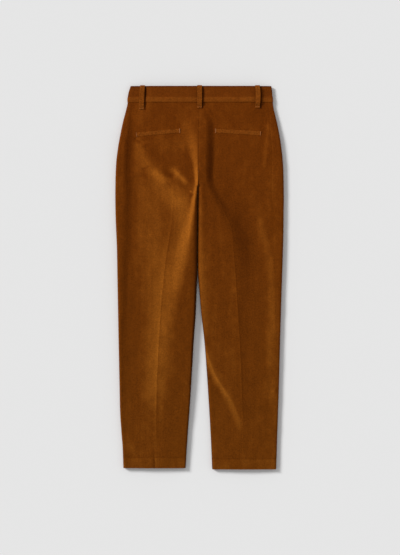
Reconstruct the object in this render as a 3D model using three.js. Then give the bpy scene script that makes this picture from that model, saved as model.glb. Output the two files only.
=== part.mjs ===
// Corduroy trousers with tapered, creased legs, laid flat on their front, so that the seat faces up.
// Sizes are in millimetres. +Z is up, +Y runs from the hems to the waist, and +X is the wearer's right.
// The origin is on the surface that the trousers lie on, under the middle of their outline.
// "down" is the distance from the waistband's top edge towards the hems.
// "left" and "right" are the wearer's.
import * as THREE from "three";

// Driving dimensions
const LENGTH = 996;
const LEFT_LEG_SHORTER = 3;
const WAISTBAND_DEPTH = 42;
const CROTCH_DOWN = 263;
const CROTCH_X = -4.5;
const CLOTH = 1.5;
const BAND_THICKNESS = 3;
const BAND_PROUD = 0.9;
const HEM_DEPTH = 28;
const HEM_THICKNESS = 3;
const SEAM_GAP = 0.3;

// Where panels stop short of the inseam, as a share of the half turn round one half of the body
const INSEAM_SHARE = 0.0035;

// Folded edges: how far in from the outline the cloth is still turning
const OUTER_ROLL = 8;
const INNER_ROLL = [
  { down: 0, left: 8, right: 12 },
  { down: 263, left: 8, right: 12 },
  { down: 310, left: 8, right: 12 },
  { down: 361, left: 9, right: 12 },
  { down: 426, left: 10, right: 11 },
  { down: 504, left: 8, right: 9 },
  { down: 582, left: 6, right: 7 },
  { down: 660, left: 5.5, right: 6 },
  { down: 996, left: 6, right: 6 },
];

// The waist end lies on the front belt loops and the button, and comes down to the surface below them
const LOOP_LIFT = 3.1;
const LIFT_ENDS = 62;
const LIFT_GONE = 115;

const BELT_LOOP = { width: 14, length: 60, thickness: 1.8, gap: 4.3, start: 1, foot: 6 };
const WELT = { depth: 12, thickness: 1.8 };
// Ends of each back pocket's welt, as distances from the centre line and down
const WELT_ENDS = {
  left: { innerX: -50.6, innerDown: 116.2, outerX: -165.8, outerDown: 126.8 },
  right: { innerX: 39.7, innerDown: 116.6, outerX: 159.3, outerDown: 123.5 },
};

const FLY_SHIELD = { centreX: -8, width: 44, length: 172 };
const WAIST_TAB = 28;
const BUTTON = { radius: 7.5, rim: 1.4, height: 1.8, down: 21 };
const FRONT_LOOP_X = 96;

const COLOUR = { cloth: 0x66300a, band: 0x6a340c, welt: 0x743c10, button: 0x3a2412 };

// Outline seen from above: the outer edge of each leg
const OUTER_EDGE = [
  { down: 0, left: -179, right: 185.5 },
  { down: 21, left: -185.2, right: 188 },
  { down: 44, left: -187.6, right: 190 },
  { down: 62, left: -191.5, right: 193 },
  { down: 94, left: -200, right: 200.9 },
  { down: 125, left: -206.5, right: 207.1 },
  { down: 156, left: -212.2, right: 212 },
  { down: 200, left: -217.6, right: 216.6 },
  { down: 270, left: -219.8, right: 218.8 },
  { down: 343, left: -219, right: 218.3 },
  { down: 420, left: -215.8, right: 216.9 },
  { down: 530, left: -213.8, right: 213.3 },
  { down: 655, left: -211.4, right: 209.4 },
  { down: 780, left: -208.8, right: 206.2 },
  { down: 850, left: -207.2, right: 203.8 },
  { down: 905, left: -203.6, right: 201.9 },
  { down: 936, left: -201, right: 200.9 },
  { down: 996, left: -198.6, right: 198.9 },
];

// Outline seen from above: the inner edge of each leg, from the crotch
const INNER_EDGE = [
  { down: 263, left: -4.5, right: -4.5 },
  { down: 275, left: -4.6, right: -4.5 },
  { down: 320, left: -4.9, right: -4.8 },
  { down: 374, left: -5.3, right: -5.2 },
  { down: 430, left: -5.6, right: -5.5 },
  { down: 480, left: -5.8, right: -5.2 },
  { down: 505, left: -6.4, right: -4 },
  { down: 535, left: -7.9, right: -1.2 },
  { down: 593, left: -10.3, right: 4 },
  { down: 655, left: -14.9, right: 11.2 },
  { down: 718, left: -18.6, right: 16.4 },
  { down: 811, left: -24.2, right: 22.7 },
  { down: 905, left: -31, right: 28.2 },
  { down: 996, left: -37, right: 32.3 },
];

// Side seams: how far in from the outer edge they lie, on the upper side
const SIDE_SEAM = [
  { down: 0, inset: 13 },
  { down: 42, inset: 13 },
  { down: 70, inset: 15 },
  { down: 110, inset: 21.5 },
  { down: 200, inset: 29 },
  { down: 280, inset: 32.5 },
  { down: 370, inset: 28 },
  { down: 450, inset: 22.5 },
  { down: 520, inset: 17.5 },
  { down: 600, inset: 14 },
  { down: 720, inset: 9 },
  { down: 996, inset: 6 },
];

// Level of the upper side between its folds
const LEVEL = [
  { down: 0, height: 14 },
  { down: 45, height: 14 },
  { down: 130, height: 12.8 },
  { down: 300, height: 12.2 },
  { down: 600, height: 12 },
  { down: 900, height: 11.6 },
  { down: 996, height: 11.6 },
];

// Fold beside the centre back seam: the foot of its left side, how late that rises, and its steep right
// side, which runs on towards the right leg's crease
const SEAT_FOLD = [
  { down: 42, foot: -60, sweep: 1, x: 14, height: 0, width: 16 },
  { down: 66, foot: -60, sweep: 1, x: 17, height: 1, width: 16 },
  { down: 100, foot: -56, sweep: 1.1, x: 26, height: 4, width: 23 },
  { down: 150, foot: -40, sweep: 1.5, x: 27.5, height: 6.2, width: 26 },
  { down: 200, foot: -27, sweep: 2.4, x: 26, height: 7.4, width: 25 },
  { down: 232, foot: -20, sweep: 2.8, x: 25.5, height: 7.8, width: 22 },
  { down: 250, foot: -17, sweep: 2.8, x: 28, height: 5.6, width: 23 },
  { down: 270, foot: -14, sweep: 2, x: 35, height: 4.2, width: 26 },
  { down: 309, foot: -13, sweep: 1.5, x: 57, height: 3.6, width: 31 },
  { down: 361, foot: -12, sweep: 1.5, x: 88, height: 3.1, width: 46 },
  { down: 426, foot: -12, sweep: 1.5, x: 108, height: 2.6, width: 46 },
  { down: 504, foot: -12, sweep: 1.5, x: 118, height: 1.4, width: 50 },
  { down: 580, foot: -12, sweep: 1.5, x: 122, height: 0, width: 50 },
];
const SEAT_FOLD_TOP = -4.5;
const SEAT_FOLD_FADE = 50;

// Ridge of the left thigh beside the crotch, widening down the leg
const THIGH_RIDGE = [
  { down: 232, x: -6, height: 0, left: 5, right: 6 },
  { down: 268, x: -8, height: 3.6, left: 6, right: 6 },
  { down: 310, x: -12.5, height: 5.8, left: 8, right: 9 },
  { down: 361, x: -18, height: 7.2, left: 14, right: 14 },
  { down: 426, x: -25, height: 7.8, left: 26, right: 22 },
  { down: 504, x: -34, height: 7.8, left: 40, right: 36 },
  { down: 582, x: -50, height: 7.6, left: 52, right: 72 },
  { down: 700, x: -66, height: 7.2, left: 58, right: 110 },
  { down: 760, x: -73, height: 6, left: 56, right: 120 },
  { down: 820, x: -80, height: 4.4, left: 54, right: 120 },
  { down: 880, x: -88, height: 2.6, left: 50, right: 110 },
  { down: 940, x: -92, height: 1.4, left: 50, right: 100 },
  { down: 996, x: -95, height: 0.4, left: 50, right: 100 },
];

// Step that runs from the right leg's inner knee down to its crease
const KNEE_FOLD = [
  { down: 660, x: 5, drop: 0, width: 6 },
  { down: 684, x: 14, drop: 0.9, width: 6 },
  { down: 715, x: 25, drop: 2.4, width: 7.5 },
  { down: 742, x: 34.5, drop: 3, width: 9 },
  { down: 780, x: 56, drop: 3, width: 11 },
  { down: 816, x: 80, drop: 2.3, width: 13 },
  { down: 860, x: 100, drop: 1.3, width: 15 },
  { down: 900, x: 110, drop: 0.5, width: 16 },
  { down: 945, x: 114, drop: 0, width: 18 },
];
const KNEE_FOLD_LEAN = 0.87;

// Pressed creases down the middle of each back leg
const CREASE = [
  { down: 245, left: -66, right: 25, height: 0, lift: 0 },
  { down: 282, left: -68, right: 39.5, height: 0.2, lift: 0.2 },
  { down: 309, left: -70, right: 56, height: 0.3, lift: 0.4 },
  { down: 345, left: -72, right: 71.5, height: 0.35, lift: 0.6 },
  { down: 368, left: -75, right: 82, height: 0.4, lift: 0.8 },
  { down: 450, left: -88, right: 89.5, height: 0.5, lift: 1.2 },
  { down: 555, left: -99, right: 97, height: 0.6, lift: 1.4 },
  { down: 660, left: -106, right: 103.5, height: 0.65, lift: 1.2 },
  { down: 765, left: -111, right: 108.5, height: 0.7, lift: 1.2 },
  { down: 850, left: -113, right: 111, height: 0.5, lift: 1.2 },
  { down: 930, left: -113, right: 112, height: 0.1, lift: 1.4 },
  { down: 996, left: -112, right: 112, height: 0, lift: 2 },
];
const CREASE_SHARPNESS = 8;
const CREASE_SPAN = 78;

// Roll of cloth along each outer edge: a step down at the side seam, and the valley past it
const EDGE_ROLL = [
  { down: 0, left: 0, right: 0, width: 18 },
  { down: 50, left: 0.8, right: 0.4, width: 18 },
  { down: 105, left: 1.9, right: 1.2, width: 18 },
  { down: 150, left: 3.9, right: 1.2, width: 21 },
  { down: 230, left: 4, right: 0.5, width: 23 },
  { down: 320, left: 3.6, right: 0.4, width: 30 },
  { down: 420, left: 2.8, right: 0.8, width: 28 },
  { down: 520, left: 1.9, right: 0.9, width: 22 },
  { down: 700, left: 1.5, right: 0.8, width: 22 },
  { down: 850, left: 0.8, right: 0.5, width: 22 },
  { down: 996, left: 0.4, right: 0.3, width: 20 },
];
const VALLEY = { depth: 0.3, past: 0.7, spread: 0.7 };

// Where `at` falls between a table's rows: a cubic through the rows, with slopes from their neighbours
function along(table, column, at) {
  const last = table.length - 1;
  if (at <= table[0].down) return table[0][column];
  if (at >= table[last].down) return table[last][column];
  const i = table.findIndex((row) => row.down > at) - 1;
  const slope = (k) => {
    const a = table[Math.max(0, k - 1)];
    const b = table[Math.min(last, k + 1)];
    return (b[column] - a[column]) / (b.down - a.down);
  };
  const span = table[i + 1].down - table[i].down;
  const t = (at - table[i].down) / span;
  return (
    (2 * t ** 3 - 3 * t ** 2 + 1) * table[i][column] +
    (t ** 3 - 2 * t ** 2 + t) * span * slope(i) +
    (3 * t ** 2 - 2 * t ** 3) * table[i + 1][column] +
    (t ** 3 - t ** 2) * span * slope(i + 1)
  );
}

const ease = (t) => THREE.MathUtils.smoothstep(t, 0, 1);
const bell = (t) => Math.exp(-t * t);
const trough = (t) => (t > 0 ? t * Math.exp(1 - t) : 0);

// Share of a fold's full height at a distance in from the edge: a quarter of an ellipse
function rounded(distance, radius) {
  const t = THREE.MathUtils.clamp(distance / radius, 0, 1);
  return Math.sqrt(1 - (1 - t) ** 2);
}

const hemDown = (side) => (side === "left" ? LENGTH - LEFT_LEG_SHORTER : LENGTH);
const centreSeam = (down) => CROTCH_X * Math.min(1, down / CROTCH_DOWN);

function innerEdge(side, down) {
  const edge = down < CROTCH_DOWN ? centreSeam(down) : along(INNER_EDGE, side, down);
  return edge + (side === "left" ? -SEAM_GAP / 2 : SEAM_GAP / 2);
}

// Distance from the slit between the legs, whose upper end is the crotch
function fromInnerEdge(side, x, down) {
  if (down >= CROTCH_DOWN) return Math.abs(x - innerEdge(side, down));
  return Math.hypot(x - innerEdge(side, down), CROTCH_DOWN - down);
}

function seatFold(side, x, down) {
  const foot = along(SEAT_FOLD, "foot", down);
  const rise = ease((x - foot) / (SEAT_FOLD_TOP - foot)) ** along(SEAT_FOLD, "sweep", down);
  const width = along(SEAT_FOLD, "width", down);
  const fall = 1 - ease((x - along(SEAT_FOLD, "x", down)) / width + 0.5);
  const onLeftLeg = side === "left" ? 1 - ease((down - CROTCH_DOWN) / SEAT_FOLD_FADE) : 1;
  return along(SEAT_FOLD, "height", down) * rise * fall * onLeftLeg;
}

function thighRidge(side, x, down) {
  if (side === "right") return 0;
  const offset = x - along(THIGH_RIDGE, "x", down);
  const width = along(THIGH_RIDGE, offset < 0 ? "left" : "right", down);
  return along(THIGH_RIDGE, "height", down) * bell(offset / width);
}

function kneeFold(side, x, down) {
  if (side === "left") return 0;
  const past = (along(KNEE_FOLD, "x", down) - x) * KNEE_FOLD_LEAN;
  return -along(KNEE_FOLD, "drop", down) * trough(past / along(KNEE_FOLD, "width", down));
}

function crease(side, x, down) {
  const away = Math.abs(x - along(CREASE, side, down));
  const ridge = along(CREASE, "height", down) * Math.exp(-away / CREASE_SHARPNESS);
  return ridge + along(CREASE, "lift", down) * (1 - ease(away / CREASE_SPAN));
}

function edgeRoll(side, fromOuter, down) {
  const roll = along(EDGE_ROLL, side, down);
  const width = along(EDGE_ROLL, "width", down);
  const past = (fromOuter - along(SIDE_SEAM, "inset", down)) / width;
  return (
    roll * (1 - ease(past + 0.5)) -
    roll * VALLEY.depth * bell((past - VALLEY.past) / VALLEY.spread)
  );
}

// Height of the upper side's outer face, before it turns down at the edges
function upperLevel(side, x, down, fromOuter) {
  return (
    along(LEVEL, "height", down) +
    edgeRoll(side, fromOuter, down) +
    seatFold(side, x, down) +
    thighRidge(side, x, down) +
    kneeFold(side, x, down) +
    crease(side, x, down)
  );
}

const lowerLevel = (down) => LOOP_LIFT * (1 - ease((down - LIFT_ENDS) / (LIFT_GONE - LIFT_ENDS)));

// A point of one half's outer face. around runs 0 to 1 across the front, from the centre front or inseam
// to the outer edge, and 1 to 2 across the back, from the outer edge to the centre back or inseam.
function bodyPoint(side, down, around) {
  const outer = along(OUTER_EDGE, side, down);
  const inner = innerEdge(side, down);
  const x = inner + ((outer - inner) * (1 - Math.cos(Math.PI * around))) / 2;
  const fromOuter = Math.abs(outer - x);
  const atInner = rounded(fromInnerEdge(side, x, down), along(INNER_ROLL, side, down));
  const full = rounded(fromOuter, OUTER_ROLL) * atInner;
  const level = around <= 1 ? lowerLevel(down) : upperLevel(side, x, down, fromOuter);
  const middle = (lowerLevel(down) + along(LEVEL, "height", down)) / 2;
  const z = THREE.MathUtils.lerp(middle, level, full);
  return new THREE.Vector3(x, LENGTH / 2 - down, z);
}

// The outer face's normal there, from its neighbours
function bodyNormal(side, down, around) {
  const [a, b] = [Math.max(0, around - 0.004), Math.min(2, around + 0.004)];
  const [top, bottom] = [Math.max(0, down - 0.4), Math.min(LENGTH, down + 0.4)];
  const across = bodyPoint(side, down, b).sub(bodyPoint(side, down, a));
  const lengthways = bodyPoint(side, bottom, around).sub(bodyPoint(side, top, around));
  const normal = lengthways.cross(across).normalize();
  return side === "left" ? normal : normal.negate();
}

// The same point moved out by `out`, or in if `out` is negative
function moved(side, down, around, out) {
  return bodyPoint(side, down, around).addScaledVector(bodyNormal(side, down, around), out);
}

// Where the upper side lies `inset` in from the outer edge, and where it passes a given x
function aroundAtInset(side, down, inset) {
  const width = Math.abs(along(OUTER_EDGE, side, down) - innerEdge(side, down));
  return 1 + Math.acos(1 - (2 * inset) / width) / Math.PI;
}

function aroundAtX(side, down, x) {
  const outer = along(OUTER_EDGE, side, down);
  const share = (x - innerEdge(side, down)) / (outer - innerEdge(side, down));
  return 2 - Math.acos(1 - 2 * THREE.MathUtils.clamp(share, 0, 1)) / Math.PI;
}

// A closed wall. face(i, j, k) gives a point of row i and column j, on the outer face for k = 0 and on
// the inner one for k = 1.
function wall(name, rows, columns, face, colour, flip = false) {
  const positions = [];
  const faces = [];
  const index = (i, j, k) => (k * (rows + 1) + i) * (columns + 1) + j;
  for (const k of [0, 1])
    for (let i = 0; i <= rows; i++)
      for (let j = 0; j <= columns; j++) positions.push(...face(i, j, k).toArray());
  const quad = (a, b, c, d) => faces.push(a, b, c, a, c, d);
  for (let i = 0; i < rows; i++)
    for (let j = 0; j < columns; j++) {
      quad(index(i, j, 0), index(i + 1, j, 0), index(i + 1, j + 1, 0), index(i, j + 1, 0));
      quad(index(i, j, 1), index(i, j + 1, 1), index(i + 1, j + 1, 1), index(i + 1, j, 1));
    }
  for (let i = 0; i < rows; i++) {
    quad(index(i, 0, 0), index(i, 0, 1), index(i + 1, 0, 1), index(i + 1, 0, 0));
    quad(index(i, columns, 0), index(i + 1, columns, 0), index(i + 1, columns, 1), index(i, columns, 1));
  }
  for (let j = 0; j < columns; j++) {
    quad(index(0, j, 0), index(0, j + 1, 0), index(0, j + 1, 1), index(0, j, 1));
    quad(index(rows, j, 0), index(rows, j, 1), index(rows, j + 1, 1), index(rows, j + 1, 0));
  }
  if (flip) faces.reverse();
  const geometry = new THREE.BufferGeometry();
  geometry.setAttribute("position", new THREE.Float32BufferAttribute(positions, 3));
  geometry.setIndex(faces);
  geometry.computeVertexNormals();
  const material = new THREE.MeshStandardMaterial({ color: colour, roughness: 0.95, metalness: 0 });
  const mesh = new THREE.Mesh(geometry, material);
  mesh.name = name;
  return mesh;
}

// Distances down for a panel's rows: closer together towards the crotch, even below it, and a step for
// the hem
function panelRows(side) {
  const [above, below] = [14, 18];
  const top = WAISTBAND_DEPTH + SEAM_GAP;
  const hem = hemDown(side);
  const turn = hem - HEM_DEPTH;
  const legTop = CROTCH_DOWN + 12;
  const list = [];
  for (let i = 0; i < above; i++) {
    list.push(top + (CROTCH_DOWN - top) * Math.sin((Math.PI / 2) * (i / above)));
  }
  list.push(CROTCH_DOWN, CROTCH_DOWN + 3, legTop);
  for (let i = 1; i < below; i++) list.push(legTop + ((turn - 2 - legTop) * i) / below);
  list.push(turn - 2, turn, hem - HEM_DEPTH / 2, hem);
  return list;
}

const panelThickness = (side, down) => (down > hemDown(side) - HEM_DEPTH - 1 ? HEM_THICKNESS : CLOTH);

function backPanel(side) {
  const rows = panelRows(side);
  const columns = 19;
  const face = (i, j, k) => {
    const down = rows[i];
    const start = aroundAtInset(side, down, along(SIDE_SEAM, "inset", down) + SEAM_GAP / 2);
    const around = THREE.MathUtils.lerp(start, 2 - INSEAM_SHARE, j / columns);
    return moved(side, down, around, -k * panelThickness(side, down));
  };
  return wall(`back_panel_${side}`, rows.length - 1, columns, face, COLOUR.cloth, side === "right");
}

// The front goes under the leg from the inseam, round the outer fold, and up to the side seam
function frontPanel(side) {
  const rows = panelRows(side);
  const under = [INSEAM_SHARE, 0.05, 0.1, 0.16, 0.3, 0.5, 0.7, 0.84, 0.9, 0.95, 1];
  const over = 4;
  const columns = under.length - 1 + over;
  const face = (i, j, k) => {
    const down = rows[i];
    const end = aroundAtInset(side, down, along(SIDE_SEAM, "inset", down) - SEAM_GAP / 2);
    const past = (j - under.length + 1) / over;
    const around = past <= 0 ? under[j] : THREE.MathUtils.lerp(1, end, past);
    return moved(side, down, around, -k * panelThickness(side, down));
  };
  return wall(`front_panel_${side}`, rows.length - 1, columns, face, COLOUR.cloth, side === "right");
}

// The waistband stands a little proud of the panels, and is thicker
function bandFace(side, down, around, k) {
  return moved(side, down, around, BAND_PROUD - k * BAND_THICKNESS);
}

function waistbandBack(side) {
  const [rows, columns] = [3, 14];
  const face = (i, j, k) => {
    const down = (WAISTBAND_DEPTH * i) / rows;
    const start = aroundAtInset(side, down, along(SIDE_SEAM, "inset", down) + SEAM_GAP / 2);
    return bandFace(side, down, THREE.MathUtils.lerp(start, 2 - INSEAM_SHARE, j / columns), k);
  };
  return wall(`waistband_back_${side}`, rows, columns, face, COLOUR.band, side === "right");
}

// A front waistband ends past the centre: the right one has the tab that buttons over the left
function waistbandFront(side) {
  const [rows, columns] = [3, 16];
  const tabEnd = -WAIST_TAB + (side === "left" ? -SEAM_GAP / 2 : SEAM_GAP / 2);
  const face = (i, j, k) => {
    const down = (WAISTBAND_DEPTH * i) / rows;
    const end = aroundAtInset(side, down, along(SIDE_SEAM, "inset", down) - SEAM_GAP / 2);
    if (side === "left") {
      const start = 2 - aroundAtX(side, down, tabEnd);
      return bandFace(side, down, THREE.MathUtils.lerp(start, end, j / columns), k);
    }
    const tabColumns = 2;
    if (j < tabColumns) {
      const edge = bandFace(side, down, INSEAM_SHARE, k);
      return edge.setX(THREE.MathUtils.lerp(tabEnd, edge.x, j / tabColumns));
    }
    const t = (j - tabColumns) / (columns - tabColumns);
    return bandFace(side, down, THREE.MathUtils.lerp(INSEAM_SHARE, end, t), k);
  };
  return wall(`waistband_front_${side}`, rows, columns, face, COLOUR.band, side === "right");
}

// Outer face of the back at an x, on the waistband or on the panel below it
function backAt(x, down, out) {
  const side = x < centreSeam(down) ? "left" : "right";
  const proud = down < WAISTBAND_DEPTH ? BAND_PROUD : 0;
  return moved(side, down, aroundAtX(side, down, x), proud + out);
}

function beltLoop(name, topX, bottomX) {
  const [rows, columns] = [12, 4];
  const { width, length, thickness, gap, start, foot } = BELT_LOOP;
  const face = (i, j, k) => {
    const t = i / rows;
    const down = start + length * t;
    const x = THREE.MathUtils.lerp(topX, bottomX, t) + width * (j / columns - 0.5);
    const fromEnd = Math.min(down - start, start + length - down);
    const arch = gap * ease((fromEnd - foot / 2) / (1.4 * foot));
    return backAt(x, down, SEAM_GAP + arch + (1 - k) * thickness);
  };
  return wall(name, rows, columns, face, COLOUR.welt);
}

function frontLoop(name, x) {
  const [rows, columns] = [1, 1];
  const { width, length, thickness, start } = BELT_LOOP;
  const face = (i, j, k) =>
    new THREE.Vector3(x + width * (j - 0.5), LENGTH / 2 - start - length * i, k * thickness);
  return wall(name, rows, columns, face, COLOUR.welt, true);
}

// Pocket welt: a strip on the panel, lower at its outer end
function pocketWelt(side) {
  const [rows, columns] = [2, 12];
  const { innerX, innerDown, outerX, outerDown } = WELT_ENDS[side];
  const face = (i, j, k) => {
    const x = THREE.MathUtils.lerp(innerX, outerX, j / columns);
    const down = THREE.MathUtils.lerp(innerDown, outerDown, j / columns) + WELT.depth * (i / rows - 0.5);
    return backAt(x, down, SEAM_GAP + (1 - k) * WELT.thickness);
  };
  return wall(`pocket_welt_${side}`, rows, columns, face, COLOUR.welt, side === "left");
}

// Strip behind the fly opening, on the inside of the two fronts, from the waistband down
function flyShield() {
  const [rows, columns] = [10, 1];
  const face = (i, j, k) => {
    const down = WAISTBAND_DEPTH + 2 * SEAM_GAP + (FLY_SHIELD.length * i) / rows;
    const x = FLY_SHIELD.centreX + FLY_SHIELD.width * (j - 0.5);
    return new THREE.Vector3(x, LENGTH / 2 - down, lowerLevel(down) + CLOTH * (1 + k) + 2 * SEAM_GAP);
  };
  return wall("fly_shield", rows, columns, face, COLOUR.cloth, true);
}

function waistButton() {
  const { radius, rim, height } = BUTTON;
  const profile = [
    [0, 0.5],
    [radius - rim, 0.5],
    [radius - rim / 2, 0],
    [radius, 0.6],
    [radius, height - 0.5],
    [radius - 0.5, height],
    [0, height],
  ].map(([r, z]) => new THREE.Vector2(r, z));
  const geometry = new THREE.LatheGeometry(profile, 24);
  geometry.rotateX(Math.PI / 2);
  const material = new THREE.MeshStandardMaterial({ color: COLOUR.button, roughness: 0.4, metalness: 0 });
  const mesh = new THREE.Mesh(geometry, material);
  mesh.position.set(-WAIST_TAB / 2, LENGTH / 2 - BUTTON.down, 0);
  mesh.name = "waist_button";
  return mesh;
}

const trousers = new THREE.Group();
for (const side of ["left", "right"]) {
  trousers.add(backPanel(side), frontPanel(side));
  trousers.add(waistbandBack(side), waistbandFront(side));
  trousers.add(pocketWelt(side));
}
trousers.add(beltLoop("belt_loop_back_left", -148.5, -151.3));
trousers.add(beltLoop("belt_loop_back_centre", -0.3, -0.3));
trousers.add(beltLoop("belt_loop_back_right", 150, 150.5));
trousers.add(frontLoop("belt_loop_front_left", -FRONT_LOOP_X));
trousers.add(frontLoop("belt_loop_front_right", FRONT_LOOP_X));
trousers.add(flyShield(), waistButton());

export default trousers;
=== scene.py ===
"""Corduroy trousers laid flat with the seat up, photographed from straight above on a pale floor."""
import logging
import math
from dataclasses import dataclass, field
from enum import Enum
from typing import Any

import bpy
import numpy as np
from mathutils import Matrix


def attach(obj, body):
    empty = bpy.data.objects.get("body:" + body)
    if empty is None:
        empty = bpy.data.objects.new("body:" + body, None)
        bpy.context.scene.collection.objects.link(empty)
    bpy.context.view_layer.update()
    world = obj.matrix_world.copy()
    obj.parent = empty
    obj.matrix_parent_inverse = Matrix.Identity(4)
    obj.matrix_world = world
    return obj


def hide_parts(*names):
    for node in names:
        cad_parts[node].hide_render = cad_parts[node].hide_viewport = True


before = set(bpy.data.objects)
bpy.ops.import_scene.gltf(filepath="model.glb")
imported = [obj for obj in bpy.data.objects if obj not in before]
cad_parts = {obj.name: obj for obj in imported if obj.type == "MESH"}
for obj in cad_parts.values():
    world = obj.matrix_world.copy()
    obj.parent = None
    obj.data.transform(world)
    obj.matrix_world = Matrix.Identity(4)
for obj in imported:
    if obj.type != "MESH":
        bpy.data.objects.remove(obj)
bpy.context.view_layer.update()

LOG = logging.getLogger("trousers")
Array = np.ndarray
Colour = tuple[float, float, float, float]

# All sizes below are millimetres, and meshes are written in metres. "down" is the distance from the
# waistband's top edge towards the hems, and left and right are the wearer's, as in the photograph.
MM = 0.001
LENGTH = 996.6
BAND_DEPTH = 42.0
CROTCH_DOWN = 263.0
CROTCH_X = -4.5
SEAM_GAP = 0.16
HEM_DEPTH = 28.0

# Length below the crotch in which the backs and fronts part at the inseam
PARTING = 6.0

# Where down the body the ditch of the side seams begins, where it ends, and where the centre back's does
SIDE_DITCH_STARTS = (44.0, 50.0)
SIDE_DITCH_ENDS = (250.0, 330.0)
CENTRE_DITCH_FADES = CROTCH_DOWN - 12.0

# Angles: the golden one, and the least bend of a sharp edge and of a rounded one
GOLDEN_ANGLE = 2.39996
SHARP_ANGLE = math.radians(48)
BEVEL_ANGLE = math.radians(60)

TO_THE_LEFT = np.array([-1.0, 0.0, 0.0])
UPWARDS = np.array([0.0, 0.0, 1.0])


class Side(Enum):
    """A half of the body."""

    LEFT = "left"
    RIGHT = "right"

    @property
    def sign(self) -> float:
        """Direction of the half along X."""
        return -1.0 if self is Side.LEFT else 1.0


# Small formulas


def ease(t: Array | float) -> Array:
    """Smooth step: 3t² - 2t³ between 0 and 1, held at its ends."""
    t = np.clip(t, 0.0, 1.0)
    return t * t * (3.0 - 2.0 * t)


def grow(value: Array, start: Array | float, end: Array | float) -> Array:
    """Smooth step from 0 at the start to 1 at the end."""
    return ease((value - start) / (end - start))


def fade(value: Array, start: Array | float, end: Array | float) -> Array:
    """Smooth step from 1 at the start to 0 at the end."""
    return 1.0 - grow(value, start, end)


def bell(t: Array | float) -> Array:
    """Bell: e to the power of minus t squared."""
    return np.exp(-np.square(t))


def trough(t: Array) -> Array:
    """One-sided hollow: a quarter of t squared times e^(2 - t) past zero, whose peak of 1 is at t = 2."""
    return np.where(t > 0, np.square(t / 2.0) * np.exp(2.0 - t), 0.0)


def rounded(distance: Array, radius: float) -> Array:
    """Share of a fold's height at a distance in from the edge: a quarter of an ellipse."""
    return np.sqrt(1.0 - np.square(1.0 - np.clip(distance / radius, 0.0, 1.0)))


def clustered(count: int) -> Array:
    """Steps from 0 to 1 that are closest together at both ends: half of 1 minus the cosine."""
    return (1.0 - np.cos(np.pi * np.linspace(0.0, 1.0, count + 1))) / 2.0


@dataclass(frozen=True)
class Table:
    """Sizes listed by their distance down.

    Attributes:
        columns: Names of the values after the first one in each row.
        rows: Each row's distance down, and its values.
    """

    columns: tuple[str, ...]
    rows: tuple[tuple[float, ...], ...]

    def at(self, column: str, down: Array | float) -> Array:
        """Value where `down` falls: a cubic through the rows, with slopes taken from their neighbours.

        Args:
            column: Name of the value.
            down: Distances down.

        Returns:
            The values.
        """
        data = np.array(self.rows, dtype=float)
        knots = data[:, 0]
        values = data[:, 1 + self.columns.index(column)]
        before = np.maximum(np.arange(len(knots)) - 1, 0)
        after = np.minimum(np.arange(len(knots)) + 1, len(knots) - 1)
        slopes = (values[after] - values[before]) / (knots[after] - knots[before])
        i = np.clip(np.searchsorted(knots, down, side="right") - 1, 0, len(knots) - 2)
        span = knots[i + 1] - knots[i]
        t = np.clip((down - knots[i]) / span, 0.0, 1.0)
        return (
            (2 * t**3 - 3 * t**2 + 1) * values[i]
            + (t**3 - 2 * t**2 + t) * span * slopes[i]
            + (3 * t**2 - 2 * t**3) * values[i + 1]
            + (t**3 - t**2) * span * slopes[i + 1]
        )


@dataclass(frozen=True)
class Fold:
    """A ridge or hollow laid along a given path.

    Attributes:
        path: Points of its crest, each (down, x, height), where a hollow's height is negative.
        left: Width to the crest's right hand when it is followed down the cloth, towards -X.
        right: Width on its other side, towards +X.
    """

    path: tuple[tuple[float, float, float], ...]
    left: float
    right: float

    def lift(self, x: Array, down: Array) -> Array:
        """How far the fold raises the cloth: the height of its nearest point, times a bell of the distance.

        The nearest point on each straight stretch of the path is found by projection. The distance is
        measured in widths of the side that the point is on.

        Args:
            x: Places across.
            down: Distances down.

        Returns:
            Heights.
        """
        nearest = np.full(np.shape(x), np.inf)
        height = np.zeros(np.shape(x))
        offset = np.zeros(np.shape(x))
        for (d0, x0, h0), (d1, x1, h1) in zip(self.path, self.path[1:]):
            run, rise = x1 - x0, d1 - d0
            t = np.clip(((x - x0) * run + (down - d0) * rise) / (run * run + rise * rise), 0.0, 1.0)
            gap_x, gap_down = x - x0 - t * run, down - d0 - t * rise
            distance = np.hypot(gap_x, gap_down)
            side = np.sign(gap_x * rise - gap_down * run)
            closer = distance < nearest
            nearest = np.where(closer, distance, nearest)
            height = np.where(closer, h0 + (h1 - h0) * ease(t), height)
            offset = np.where(closer, np.where(side < 0, -distance, distance), offset)
        return height * bell(offset / np.where(offset < 0, self.left, self.right))


# Outline, seen from above
OUTER_EDGE = Table(
    ("left", "right"),
    (
        (0, -179, 185.5), (21, -185.2, 188), (44, -187.6, 190), (62, -191.5, 193),
        (94, -200, 200.9), (125, -206.5, 207.1), (156, -212.2, 212), (200, -217.6, 216.6),
        (270, -219.8, 218.8), (343, -219, 218.3), (420, -215.8, 216.9), (530, -213.8, 213.3),
        (655, -211.4, 209.4), (780, -208.8, 206.2), (850, -207.2, 203.8), (905, -203.6, 201.9),
        (936, -201, 200.9), (997, -198.6, 198.9),
    ),
)
INNER_EDGE = Table(
    ("left", "right"),
    (
        (263, -4.5, -4.5), (275, -4.6, -4.5), (320, -4.9, -4.8), (374, -5.3, -5.2),
        (430, -5.6, -5.5), (480, -5.8, -5.2), (505, -6.4, -4), (535, -7.9, -1.2), (593, -10.3, 4),
        (655, -14.9, 11.2), (718, -18.6, 16.4), (811, -24.2, 22.7), (905, -31, 28.2),
        (997, -37, 32.3),
    ),
)

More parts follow.
